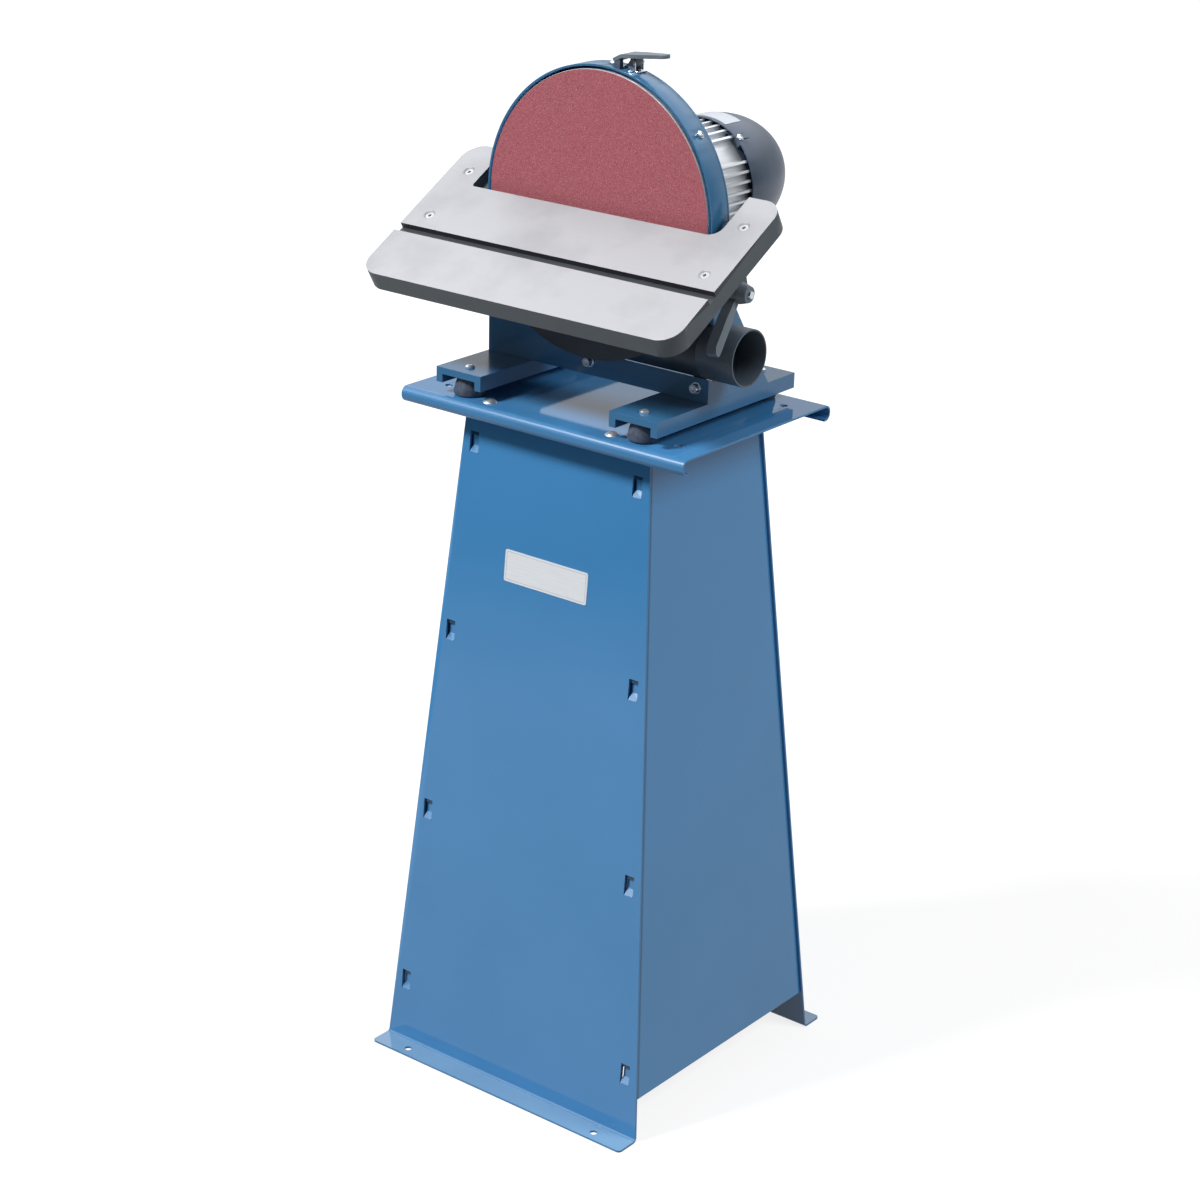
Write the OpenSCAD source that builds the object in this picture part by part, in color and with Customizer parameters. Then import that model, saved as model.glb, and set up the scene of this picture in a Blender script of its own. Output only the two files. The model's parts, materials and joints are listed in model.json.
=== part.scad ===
// Disc sander with a tilting cast table, standing on a knock-down sheet-metal stand.
// Millimetres. The origin is on the floor at the middle of the stand, +Z up, the table side faces -Y.

/* [Stand] */
// Height of the top plate's upper face above the floor
stand_h = 828; // [760:1:900]
// Width of the top plate
plate_w = 404; // [390:1:440]
// How far the top plate reaches past the stand's panels at the front and rear
plate_over = 36; // [32:1:50]
// How far the top plate reaches past the rails' ends at least
plate_rim = 11; // [11:1:25]
// Height of the rolled lips at the front and rear of the top plate
plate_lip = 18.5; // [18:0.5:24]
// Radius of the lips at the middle of the sheet
lip_r = 7.5; // [5:0.5:7.5]
// How far the foot of each lip is rolled back under the plate
lip_return = 10; // [9:1:14]
// Thickness of the stand's sheet steel
stand_sheet = 2.5; // [1.5:0.5:3]
// Bend radius at the middle of the stand's sheet
bend_r = 5; // [4:0.5:6]
// Width of the front and rear panels at the floor
panel_foot_w = 388; // [360:1:420]
// Width of the front and rear panels at the top
panel_top_w = 262; // [250:1:300]
// Depth over the front and rear panels at the floor
panel_foot_d = 350; // [320:1:400]
// Depth over the front and rear panels at the top
panel_top_d = 208; // [200:1:240]
// Depth of the foot flange of the front and rear panels
foot_flange = 30; // [26:1:40]
// Radius of the foot flange's corners
foot_corner = 5; // [2:0.5:12]
// Depth of the flange under the top plate
top_flange = 26; // [24:1:28]
// Height of the side panels' lower edge above the floor
side_gap = 50; // [20:1:120]
// Width of the side panels' flanges behind the front and rear panels
side_flange = 28; // [26:1:40]
// How far the front and rear panels stand proud of the side panels
side_inset = 3; // [1:0.5:5]
// Diameter of the holes for the floor bolts
floor_hole_d = 9; // [6:0.5:12]
// Distance across between the floor bolts
floor_hole_pitch = 292; // [240:1:320]
// Distance from a floor bolt to the flange's edge
floor_hole_inset = 12.5; // [10:0.5:15]
// Width of a hook window in the front and rear panels
slot_w = 13; // [11:0.5:15]
// Height of a hook window
slot_h = 25; // [22:1:30]
// How far the side panel's slot ends below the window's upper edge
hook_lap = 5; // [4:0.5:8]
// Distance from a window's middle to the panel's edge
slot_inset = 17; // [16:0.5:18]
// Height of the lowest window
slot_first = 79; // [75:1:110]
// Distance from the highest window up to the stand's top
slot_last = 56; // [45:1:80]
// Number of windows in each row
slot_count = 4; // [2:1:6]
// Distance across between the bolts that hold the top plate
top_bolt_pitch = 176; // [140:1:190]
// Distance of those bolts from the panel's top edge
top_bolt_out = 13; // [12:0.5:14]
// Diameter of the spare holes near the corners of the top plate
spare_hole_d = 9; // [6:0.5:12]
// Distance across between the spare holes
spare_hole_w = 330; // [326:1:350]
// Distance of the spare holes from the middle to the front and rear
spare_hole_y = 99; // [75:1:110]

/* [Base] */
// Height of the rails' underside above the top plate
rail_lift = 13; // [10:1:20]
// Height of a rail
rail_h = 18; // [16:1:24]
// Width of a rail
rail_w = 66; // [60:1:70]
// Thickness of a rail's top
rail_top = 8; // [5:0.5:9]
// Thickness of a rail's legs
rail_leg = 9; // [5:0.5:10]
// Length of a rail
rail_l = 258; // [250:1:270]
// Distance from the disc's rim out to the base's sides
base_margin = 5.5; // [5.5:0.5:7]
// Distance from a foot screw to the rail's end
foot_inset = 20; // [20:1:40]
// Diameter of a rubber foot on the stand
foot_d = 36; // [30:1:40]
// Diameter of a rubber foot at its top
foot_top_d = 27; // [24:1:30]
// Diameter of the foot screws
foot_screw_d = 6; // [5:0.5:8]
// Thickness of the support plate and the gussets
upright_t = 4; // [3:0.5:4]
// Front face of the support plate, in front of the middle
upright_y = 38; // [37:0.5:40]
// Height of the support plate at its left side
upright_h = 112; // [90:1:114]
// Length of a gusset along the rail
gusset_l = 114; // [90:1:140]

/* [Disc] */
// Diameter of the disc
disc_d = 305; // [300:0.5:306]
// Thickness of the disc plate
disc_t = 12; // [10:0.5:13]
// Thickness of the abrasive sheet
abrasive_t = 1; // [0.6:0.1:1.4]
// Front face of the abrasive, in front of the middle
disc_front = 43.5; // [43:0.5:44]
// Diameter of the disc's hub
hub_d = 50; // [40:1:60]
// Diameter of the shaft in the hub
hub_bore = 19; // [16:0.5:19.5]
// Gap between the hub and the motor plate
hub_gap = 1.5; // [1:0.5:4]

/* [Hood and brake] */
// Gap between the disc's rim and the hood
hood_gap = 2.9; // [2:0.1:2.9]
// Thickness of the hood band
hood_t = 2.5; // [2:0.1:2.5]
// How far the hood's front edge stands behind the abrasive's face
hood_back = 1.5; // [0.5:0.5:2]
// Width of the hood band
hood_w = 28; // [27.5:0.5:29]
// Thickness of the motor plate behind the disc
motor_plate_t = 3; // [2.5:0.5:4]
// Sweep of the hood band each side of the top
hood_sweep = 95; // [92:1:98]
// Angle between neighbouring hood screws
hood_screw_pitch = 50; // [40:1:52]
// Angle of the middle hood screw from the top
hood_screw_mid = 2; // [0:0.5:4]
// Diameter of the hood screws
hood_screw_d = 5; // [4:0.5:6]
// Angle of the brake's pivot from the top
brake_angle = 12; // [11.5:0.5:14]
// Height of the brake's pivot above the hood
brake_rise = 8; // [7.5:0.5:10]
// Height of the brake lever above its pivot
brake_stand = 7.5; // [7:0.5:10]
// Length of the brake lever's handle side
brake_reach = 46; // [40:1:50]
// Length of the brake lever's toe side
brake_toe = 20; // [20:0.5:21]
// How far the toe slopes down
brake_drop = 5.5; // [4:0.5:7]
// Distance from the brake's pivot to its pad
brake_pad_arm = 15; // [14.5:0.5:15.5]
// Gap between the pad and the disc's rim
brake_gap = 1.4; // [1.4:0.1:2]
// Width of the brake lever over the pad and the bracket
brake_w = 24; // [22:0.5:25]

/* [Dust collector] */
// Height of the collector above the rails
collector_lift = 25; // [23:0.5:29]
// Gap between the disc's rim and the collector's inside
collector_gap = 12.5; // [10:0.5:12.5]
// Wall of the collector
collector_wall = 3; // [2:0.5:3]
// Front face of the collector, in front of the middle
collector_front = 56; // [55.5:0.5:58]
// Height of the collector's upper edge above its lowest point
collector_h = 90; // [70:1:91]
// Outer diameter of the dust outlet
outlet_d = 64.6; // [60:0.2:65]
// Wall of the dust outlet
outlet_wall = 2; // [1.6:0.2:3]
// Reach of the outlet beyond the base's side
outlet_reach = 42; // [30:1:57]
// Place of the left collector screw across
collector_screw_left = -8; // [-20:1:10]
// Distance of the right collector screw from the base's side
collector_screw_inset = 16; // [15:0.5:40]
// Distance of the collector screws below the collector
collector_screw_drop = 9; // [8:0.5:10]
// Diameter of the collector screws
collector_screw_d = 6; // [5:0.5:6]

/* [Motor] */
// Outer radius of the motor's fins
fin_r = 71.5; // [70:0.5:72]
// Radius of the housing between the fins
core_r = 66; // [64:0.5:68]
// Inner radius of the housing
stator_r = 62; // [58:0.5:62.5]
// Number of fins in the groups above and below
fin_top_count = 9; // [5:2:9]
// Number of fins in the groups at the sides
fin_side_count = 7; // [3:2:7]
// Angle between neighbouring fins
fin_step = 9; // [6:0.5:10]
// Thickness of a fin
fin_t = 3; // [2:0.5:4]
// Length of the finned housing
housing_l = 138; // [120:1:150]
// How far the cowl laps over the housing
cowl_lap = 2; // [1:0.5:4]
// Radius of the fan cowl
cowl_r = 74.5; // [74.5:0.5:78]
// Straight length of the fan cowl
cowl_straight = 24; // [20:1:40]
// Full length of the fan cowl
cowl_l = 92; // [86:1:110]
// Depth of the rounding that ends the cowl
cowl_dome = 100; // [90:1:120]
// Wall of the fan cowl
cowl_wall = 1.8; // [1.2:0.2:2.4]
// Angle of the first cowl screw from the top
cowl_screw_angle = 41; // [35:1:55]
// Radius of the circle of motor bolts
motor_bolt_r = 58; // [54:0.5:60]
// Diameter of the shaft at the front bearing
front_bearing_bore = 20; // [20:1:22]
// Outer diameter of the front bearing
front_bearing_d = 47; // [44:1:50]
// Diameter of the shaft at the rear bearing
rear_bearing_bore = 17; // [15:1:17]
// Outer diameter of the rear bearing
rear_bearing_d = 40; // [35:1:42]
// Width of a bearing
bearing_w = 13; // [11:0.5:14]
// Gap between rotor and stator
air_gap = 0.5; // [0.3:0.1:1]
// Number of fan blades
fan_blades = 7; // [5:1:12]

/* [Switch box] */
// Depth of the switch box away from the motor
box_x = 52; // [46:1:60]
// Length of the switch box along the motor
box_y = 80; // [74:1:96]
// Height of the switch box
box_z = 90; // [86:1:104]
// Wall of the switch box
box_wall = 3; // [2:0.5:4]
// Diameter of the push buttons
button_d = 22; // [16:1:24]
// Travel of the push buttons
button_travel = 4; // [2:0.5:5]
// Distance between the push buttons
button_pitch = 38; // [32:1:44]

/* [Table] */
// Depth of the table in front of the disc
table_d = 160; // [140:1:180]
// Length of the arms beside the disc
arm_l = 66; // [56:1:80]
// Width of the arms beside the disc
arm_w = 48; // [46:1:60]
// Gap between the disc's rim and the notch's sides
notch_gap = 19.5; // [18.5:0.5:21.5]
// Thickness of the table's plate
table_t = 12; // [11:0.5:13]
// Depth of the skirt round the table
skirt_h = 24; // [20:0.5:24]
// Thickness of the skirt
skirt_t = 8; // [5:0.5:8]
// How far the arms' ends slope forward down to the skirt's lower edge
arm_slope = 10; // [4:0.5:12]
// Radius of the table's corners
table_r = 25; // [15:1:25]
// Radius in the notch's left corner
notch_left_r = 4; // [2:0.5:16]
// Radius in the notch's right corner
notch_right_r = 15; // [2:0.5:16]
// Width of the mitre groove
groove_w = 12; // [10:0.5:16]
// Depth of the mitre groove
groove_h = 7; // [5:0.5:9]
// Distance from the notch to the mitre groove
groove_at = 77.5; // [72:0.5:90]
// Slope of the table as it stands
table_tilt = 30; // [0:1:45]
// Greatest slope of the table
tilt_max = 45; // [45:1:50]

/* [Tilt mechanism] */
// Distance from the tilt axis forward to the notch's edge
pivot_back = 28.5; // [28:0.5:30]
// Distance from the tilt axis up to the table's face
pivot_drop = 22; // [21:0.5:23]
// Tilt axis, in front of the middle
pivot_y = 18; // [17:0.5:19]
// Tilt axis, below the disc's centre
pivot_low = 5; // [3:0.5:6]
// Diameter of the pivot bolts
pivot_d = 10; // [8:0.5:12]
// Thickness of a tilt bracket
bracket_t = 4; // [3:0.5:5]
// Thickness of a trunnion's web
web_t = 6; // [5:0.5:8]
// Thickness of a trunnion's flange
trunnion_flange = 8; // [6:0.5:9]
// Radius of the arc slot round the tilt axis
clamp_r = 59; // [57:0.5:62]
// Angle of the clamp stud from straight below the tilt axis
clamp_angle = 16; // [14:0.5:18]
// Diameter of the clamp studs
clamp_d = 8; // [6:0.5:10]
// Diameter of a clamp lever's hub
lever_hub_d = 24; // [20:0.5:26]
// Length of a clamp lever's hub
lever_hub_l = 34; // [28:0.5:36]
// Length of a clamp lever from its stud to its tip
lever_l = 79; // [60:1:80]
// Angle of a clamp lever forward from straight down
lever_angle = 44; // [38:1:46]
// Distance of the table screws from the table's sides
table_screw_inset = 27; // [22:0.5:30]
// Place of the table screws forward of the notch's edge
table_screw_v = [-22, 56]; // [-30:0.5:80]
// Diameter of the table screws
table_screw_d = 6; // [5:0.5:7]
// Diameter of the countersinks in the table
countersink_d = 14; // [13:0.5:16]

/* [Fits] */
// Gap between flat pieces that slide or turn past each other
slide_gap = 0.4; // [0.3:0.1:0.6]
// Radial gap of a shaft that turns in its bore
turn_gap = 0.05; // [0.02:0.01:0.1]
// Gap round a screw or between bolted sheets
loose_gap = 0.2; // [0.1:0.05:0.3]

/* [Hidden] */
$fn = 72;
big = 1000;
blue = "#4f7fae";
black_plastic = "#2d3740";
steel = "#c9ced3";
cast_grey = "#8d9092";
aluminium = "#c8ced5";
under = stand_h - stand_sheet;
plate_d = max(panel_top_d + 2 * plate_over, rail_l + 2 * plate_rim);
rail_z = stand_h + rail_lift;
rail_top_z = rail_z + rail_h;
disc_r = disc_d / 2;
base_w = disc_d + 2 * base_margin;
rail_x = base_w / 2 - rail_w / 2;
disc_back = -disc_front + abrasive_t + disc_t;
hood_in = disc_r + hood_gap;
hood_out = hood_in + hood_t;
hood_front = -disc_front + hood_back;
plate_front = hood_front + hood_w;
plate_back = plate_front + motor_plate_t;
gusset_in = base_w / 2 - upright_t;
collector_in = disc_r + collector_gap;
collector_out = collector_in + collector_wall;
collector_low = rail_top_z + collector_lift;
disc_z = collector_low + collector_out;
collector_top = collector_low + collector_h;
outlet_z = collector_low + outlet_d / 2;
outlet_y = -collector_front + 1 + outlet_d / 2;
collector_back = outlet_y + outlet_d / 2;
collector_screw_z = collector_low - collector_screw_drop;
outlet_x = base_w / 2 + outlet_reach;
outlet_joint_x = gusset_in - upright_t;
collector_screw_x = [collector_screw_left, base_w / 2 - collector_screw_inset];
notch_w = disc_d + 2 * notch_gap;
table_w = notch_w + 2 * arm_w;
table_screw_x = table_w / 2 - table_screw_inset;
pivot_z = disc_z - pivot_low;
stud_y = -pivot_y - clamp_r * sin(clamp_angle);
stud_z = pivot_z - clamp_r * cos(clamp_angle);
bracket_x = base_w / 2;
web_x = bracket_x + bracket_t + slide_gap;
washer_x = web_x + web_t + slide_gap;
washer_t = 1.6;
lever_x = washer_x + washer_t + slide_gap;
stud_end = lever_x + lever_hub_l + 3;
flange_x = table_w / 2 - skirt_t - 2;
bell_front = plate_back;
bell_flange = 8;
housing_y = bell_front + 25;
rear_bell_y = housing_y + housing_l;
cowl_y = rear_bell_y - cowl_lap;
spigot_r = 48;
front_bearing_y = bell_front + 3;
rear_bearing_y = rear_bell_y + 2;
fan_y = rear_bell_y + 32;
core_y = housing_y + 21;
core_l = housing_l * 2 / 3;
box_back = -fin_r - 4.5;
box_mid_y = housing_y + housing_l / 2 - 5;
button_y = box_mid_y + box_y * 0.175;
panel_lean = atan((panel_foot_d - panel_top_d) / 2 / under);
panel_wall = stand_sheet / cos(panel_lean);

// Sizes that follow the stand's slope
function panel_half_w(z) = (panel_foot_w + (panel_top_w - panel_foot_w) * z / under) / 2;
function panel_half_d(z) = (panel_foot_d + (panel_top_d - panel_foot_d) * z / under) / 2;
function side_half_w(z) = panel_half_w(z) - side_inset;
function side_half_d(z) = panel_half_d(z) - panel_wall - loose_gap;
function slot_z(i) = slot_first + i * (stand_h - slot_last - slot_first) / (slot_count - 1);

// Outline of a bent sheet from the corners of its middle line
function unit(v) = v / norm(v);
function square_to(v) = [-v[1], v[0]];
function bend(a, b, c, r, n) =
    let (u = unit(a - b), w = unit(c - b), half = acos(u * w) / 2, sweep = 180 - 2 * half)
    let (centre = b + unit(u + w) * r / sin(half))
    let (from = unit(b + u * r / tan(half) - centre), to = unit(b + w * r / tan(half) - centre))
    [
        for (k = [0 : n])
            let (t = sweep * k / n)
            centre + r * (from * sin(sweep - t) + to * sin(t)) / sin(sweep)
    ];
function bent_line(p, r, n = 6) = [
    for (i = [0 : len(p) - 1])
        each (i == 0 || i == len(p) - 1) ? [p[i]] : bend(p[i - 1], p[i], p[i + 1], r, n)
];
function mitre(p, i) =
    let (a = max(i, 1), b = min(i, len(p) - 2))
    let (u = square_to(unit(p[a] - p[a - 1])), w = square_to(unit(p[b + 1] - p[b])))
    (u + w) / (1 + u * w);
function sheet_outline(p, t) = concat(
    [for (i = [0 : len(p) - 1]) p[i] + mitre(p, i) * t / 2],
    [for (i = [len(p) - 1 : -1 : 0]) p[i] - mitre(p, i) * t / 2]
);
module bent_sheet(p, r, t) {
    polygon(sheet_outline(bent_line(p, r), t));
}

// Flat shapes drawn in a plane and given their thickness along one axis
module slab_x(x0, x1) {
    translate([x0, 0, 0]) rotate([90, 0, 90]) linear_extrude(x1 - x0) children();
}
module slab_y(y0, y1) {
    translate([0, y1, 0]) rotate([90, 0, 0]) linear_extrude(y1 - y0) children();
}
module slab_z(z0, z1) {
    translate([0, 0, z0]) linear_extrude(z1 - z0) children();
}
module rod_x(x0, x1, d, y, z) {
    translate([x0, y, z]) rotate([0, 90, 0]) cylinder(d = d, h = x1 - x0);
}
module rod_y(y0, y1, d, x, z) {
    translate([x, y0, z]) rotate([-90, 0, 0]) cylinder(d = d, h = y1 - y0);
}
module rod_z(z0, z1, d, x, y) {
    translate([x, y, z0]) cylinder(d = d, h = z1 - z0);
}
module block(x, y, z) {
    translate([x[0], y[0], z[0]]) cube([x[1] - x[0], y[1] - y[0], z[1] - z[0]]);
}
module hex_x(x0, x1, across, y, z) {
    translate([x0, y, z]) rotate([0, 90, 0]) cylinder(d = across / cos(30), h = x1 - x0, $fn = 6);
}
module hex_y(y0, y1, across, x, z) {
    translate([x, y0, z]) rotate([-90, 0, 0]) cylinder(d = across / cos(30), h = y1 - y0, $fn = 6);
}
module hex_z(z0, z1, across, x, y) {
    translate([x, y, z0]) cylinder(d = across / cos(30), h = z1 - z0, $fn = 6);
}
// Turned about the disc's axis: radius first, place along Y second
module turned() {
    translate([0, 0, disc_z]) rotate([-90, 0, 0]) rotate_extrude($fn = 120) children();
}
// Placed round the disc's axis, angle from the top towards +X
module round_disc(angle) {
    translate([0, 0, disc_z]) rotate([0, angle, 0]) children();
}
module both_sides() {
    children();
    mirror([1, 0, 0]) children();
}
module front_and_rear() {
    children();
    mirror([0, 1, 0]) children();
}
module round_rect(x, y, r) {
    translate([x[0] + r, y[0]]) square([x[1] - x[0] - 2 * r, y[1] - y[0]]);
    translate([x[0], y[0] + r]) square([x[1] - x[0], y[1] - y[0] - 2 * r]);
    for (px = [x[0] + r, x[1] - r])
        for (py = [y[0] + r, y[1] - r])
            translate([px, py]) circle(r);
}
module ring2d(outer_d, inner_d) {
    difference() {
        circle(d = outer_d);
        circle(d = inner_d);
    }
}
// Two round ends joined by straight sides
module link2d(a, ra, b, rb) {
    across = square_to(unit(b - a));
    from = (ra - 1) * across;
    to = (rb - 1) * across;
    union() {
        translate(a) circle(ra);
        translate(b) circle(rb);
        polygon([a + from, a - from, b - to, b + to]);
    }
}
// Pan-head screw standing on the plane z = 0, shank downwards
module pan_screw(d, reach) {
    difference() {
        rotate_extrude() intersection() {
            translate([0, -d * 0.62]) circle(d * 1.32);
            square([d * 0.9, d]);
        }
        for (turn = [45, 135])
            rotate(turn) translate([-d * 0.45, -d * 0.09, d * 0.36]) cube([d * 0.9, d * 0.18, d]);
    }
    translate([0, 0, -reach]) cylinder(d = d, h = reach + 0.1);
}

// Stand

module slot_places(z) {
    for (side = [-1, 1])
        translate([side * (panel_half_w(z) - slot_inset), 0, z]) children();
}
module end_panel() {
    foot_y = panel_foot_d / 2 + foot_flange;
    middle = stand_sheet / 2;
    difference() {
        intersection() {
            slab_x(-big / 2, big / 2)
                bent_sheet([
                    [-foot_y, middle],
                    [-panel_foot_d / 2 + middle, middle],
                    [-panel_top_d / 2 + middle, under - middle],
                    [-panel_top_d / 2 - top_flange, under - middle]
                ], bend_r, stand_sheet);
            slab_y(-big / 2, 0)
                polygon([
                    [-panel_foot_w / 2, 0], [panel_foot_w / 2, 0],
                    [panel_top_w / 2, under], [-panel_top_w / 2, under]
                ]);
            slab_z(0, stand_h)
                round_rect([-panel_foot_w / 2, panel_foot_w / 2], [-foot_y, foot_y], foot_corner);
        }
        for (i = [0 : slot_count - 1])
            slot_places(slot_z(i))
                translate([-slot_w / 2, -big / 2, -slot_h / 2]) cube([slot_w, big / 2, slot_h]);
        both_sides() {
            rod_z(-1, 10, floor_hole_d, floor_hole_pitch / 2, -foot_y + floor_hole_inset);
            rod_z(under - 10, under + 1, bolt_hole_d, top_bolt_pitch / 2, -top_bolt_y);
        }
    }
    for (i = [0 : slot_count - 1])
        slot_places(slot_z(i)) hook_tab(slot_z(i));
}
// A tab is cut free in its window, steps in through the side panel's slot and stands up behind its flange
function sheet_y(z) = -panel_half_d(z) + panel_wall / 2;
module hook_tab(z) {
    cut = 0.8;
    foot = z - slot_h / 2;
    tip = z + slot_h / 2 - hook_lap / 3;
    step = 2 * (panel_wall + loose_gap);
    rise = 7;
    slab_x(-slot_w / 2 + cut, slot_w / 2 - cut) translate([0, -z]) polygon(sheet_outline([
        [sheet_y(foot - 2), foot - 2], [sheet_y(foot), foot],
        [sheet_y(foot + rise) + step, foot + rise], [sheet_y(tip) + step, tip]
    ], stand_sheet));
}
top_bolt_d = 6;
top_bolt_l = 15;
bolt_hole_d = top_bolt_d + 2 * loose_gap;
top_bolt_y = panel_top_d / 2 + top_bolt_out;
module stand_front_panel() {
    color(blue) end_panel();
}
module stand_rear_panel() {
    color(blue) mirror([0, 1, 0]) end_panel();
}
module side_panel() {
    low = side_gap;
    high = under - loose_gap;
    difference() {
        union() {
            intersection() {
                slab_y(-big / 2, big / 2)
                    polygon([
                        [side_half_w(low) - panel_wall, low], [side_half_w(low), low],
                        [side_half_w(high), high], [side_half_w(high) - panel_wall, high]
                    ]);
                slab_x(0, big / 2)
                    polygon([
                        [-side_half_d(low), low], [side_half_d(low), low],
                        [side_half_d(high), high], [-side_half_d(high), high]
                    ]);
            }
            front_and_rear() intersection() {
                slab_x(0, big / 2)
                    polygon([
                        [-side_half_d(low), low], [-side_half_d(low) + panel_wall, low],
                        [-side_half_d(high) + panel_wall, high], [-side_half_d(high), high]
                    ]);
                slab_y(-big / 2, 0)
                    polygon([
                        [side_half_w(low) - side_flange, low], [side_half_w(low), low],
                        [side_half_w(high), high], [side_half_w(high) - side_flange, high]
                    ]);
            }
        }
        for (i = [0 : slot_count - 1])
            slot_places(slot_z(i)) block([-slot_w / 2 - 0.5, slot_w / 2 + 0.5], [-big / 2, big / 2],
                [-slot_h / 2 - 1, slot_h / 2 - hook_lap]);
    }
}
module stand_right_panel() {
    color(blue) side_panel();
}
module stand_left_panel() {
    color(blue) mirror([1, 0, 0]) side_panel();
}
module stand_top_plate() {
    middle = stand_sheet / 2;
    edge = plate_d / 2 - middle;
    low = stand_h - plate_lip + middle;
    high = stand_h - middle;
    color(blue) difference() {
        slab_x(-plate_w / 2, plate_w / 2)
            bent_sheet([
                [-edge + lip_return, low], [-edge, low], [-edge, high],
                [edge, high], [edge, low], [edge - lip_return, low]
            ], lip_r, stand_sheet);
        both_sides() front_and_rear() {
            rod_z(under - 1, stand_h + 1, bolt_hole_d, top_bolt_pitch / 2, top_bolt_y);
            rod_z(under - 1, stand_h + 1, spare_hole_d, spare_hole_w / 2, spare_hole_y);
        }
    }
}
module top_plate_bolts() {
    head_r = 9;
    color(steel) both_sides() front_and_rear() translate([top_bolt_pitch / 2, top_bolt_y, stand_h]) {
        rotate_extrude() intersection() {
            translate([0, 4.2 - head_r * 1.2]) circle(head_r * 1.2);
            square([head_r, head_r]);
        }
        translate([0, 0, -top_bolt_l]) cylinder(d = top_bolt_d, h = top_bolt_l + 0.1);
    }
}
module top_plate_nuts() {
    nut_top = under - stand_sheet;
    color(steel) both_sides() front_and_rear() difference() {
        hex_z(nut_top - 5, nut_top, 10, top_bolt_pitch / 2, top_bolt_y);
        rod_z(nut_top - 6, nut_top + 1, top_bolt_d + 2 * turn_gap, top_bolt_pitch / 2, top_bolt_y);
    }
}

// Base

foot_y = rail_l / 2 - foot_inset;
module rail() {
    color(blue) difference() {
        slab_y(-rail_l / 2, rail_l / 2) difference() {
            translate([rail_x - rail_w / 2, rail_z]) square([rail_w, rail_h]);
            translate([rail_x - rail_w / 2 + rail_leg, rail_z - 1])
                square([rail_w - 2 * rail_leg, rail_h - rail_top + 1]);
        }
        front_and_rear()
            rod_z(rail_z, rail_top_z + 1, foot_screw_d + 2 * loose_gap, rail_x, foot_y);
    }
}
module right_rail() {
    rail();
}
module left_rail() {
    mirror([1, 0, 0]) rail();
}
module rubber_feet() {
    foot_h = rail_lift + rail_h - rail_top;
    bore_r = foot_screw_d / 2 + turn_gap;
    color("#4d4a48") both_sides() front_and_rear() translate([rail_x, foot_y, stand_h])
        rotate_extrude() polygon([
            [bore_r, 0], [foot_d / 2 - 2, 0], [foot_d / 2, 2], [foot_d / 2, foot_h * 0.3],
            [foot_top_d / 2, foot_h], [bore_r, foot_h]
        ]);
}
module foot_screws() {
    color(steel) both_sides() front_and_rear() translate([rail_x, foot_y, rail_top_z])
        pan_screw(foot_screw_d, rail_h + 5);
}
module support_plate() {
    color(blue) difference() {
        slab_y(-upright_y, -upright_y + upright_t) difference() {
            translate([-base_w / 2, rail_top_z]) square([base_w, upright_h]);
            translate([0, disc_z]) circle(collector_out + 1);
            translate([0, outlet_z]) square([big, big]);
        }
        rod_x(0, big, outlet_d + 2, outlet_y, outlet_z);
        for (x = collector_screw_x)
            rod_y(-big / 2, 0, collector_screw_d + 2 * loose_gap, x, collector_screw_z);
    }
}
gusset_front = -upright_y + upright_t;
gusset_head_r = 17;
module gusset() {
    head_back = stud_y + gusset_head_r * 0.8;
    head_top = stud_z + gusset_head_r * 0.6;
    slab_x(gusset_in, base_w / 2) difference() {
        union() {
            polygon([
                [gusset_front, rail_top_z], [gusset_front + gusset_l - upright_t, rail_top_z],
                [head_back, head_top], [gusset_front, head_top]
            ]);
            translate([stud_y, stud_z]) circle(gusset_head_r);
        }
        translate([stud_y, stud_z]) circle(d = clamp_d + 2 * loose_gap);
    }
}
module left_gusset() {
    color(blue) mirror([1, 0, 0]) gusset();
}
module right_gusset() {
    color(blue) difference() {
        gusset();
        rod_x(gusset_in - 1, base_w / 2 + 1, outlet_d + 2, outlet_y, outlet_z);
    }
}

// Dust collector

module collector_drum(r, front, back) {
    intersection() {
        rod_y(front, back, 2 * r, 0, disc_z);
        block([-big, big], [-big, big], [0, collector_top]);
    }
}
throat_d = outlet_d - 2 * (collector_wall + loose_gap);
module dust_collector() {
    ear_back = -upright_y + upright_t + collector_wall;
    color(black_plastic) {
        difference() {
            union() {
                collector_drum(collector_out, -collector_front, collector_back);
                rod_x(0, outlet_joint_x, outlet_d, outlet_y, outlet_z);
            }
            rod_y(-collector_front + collector_wall, collector_back - collector_wall,
                2 * collector_in, 0, disc_z);
            rod_x(0, outlet_joint_x + 1, throat_d, outlet_y, outlet_z);
            rod_y(0, big, 2 * cowl_r + 8, 0, disc_z);
        }
        for (x = collector_screw_x) difference() {
            block([x - 8, x + 8], [ear_back - collector_wall, ear_back],
                [collector_screw_z - 8, collector_low + 2]);
            rod_y(-big / 2, 0, collector_screw_d + 2 * turn_gap, x, collector_screw_z);
        }
    }
}
module dust_outlet() {
    color(black_plastic) translate([outlet_joint_x, outlet_y, outlet_z]) rotate([0, 90, 0])
        linear_extrude(outlet_x - outlet_joint_x) ring2d(outlet_d, outlet_d - 2 * outlet_wall);
}
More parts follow.
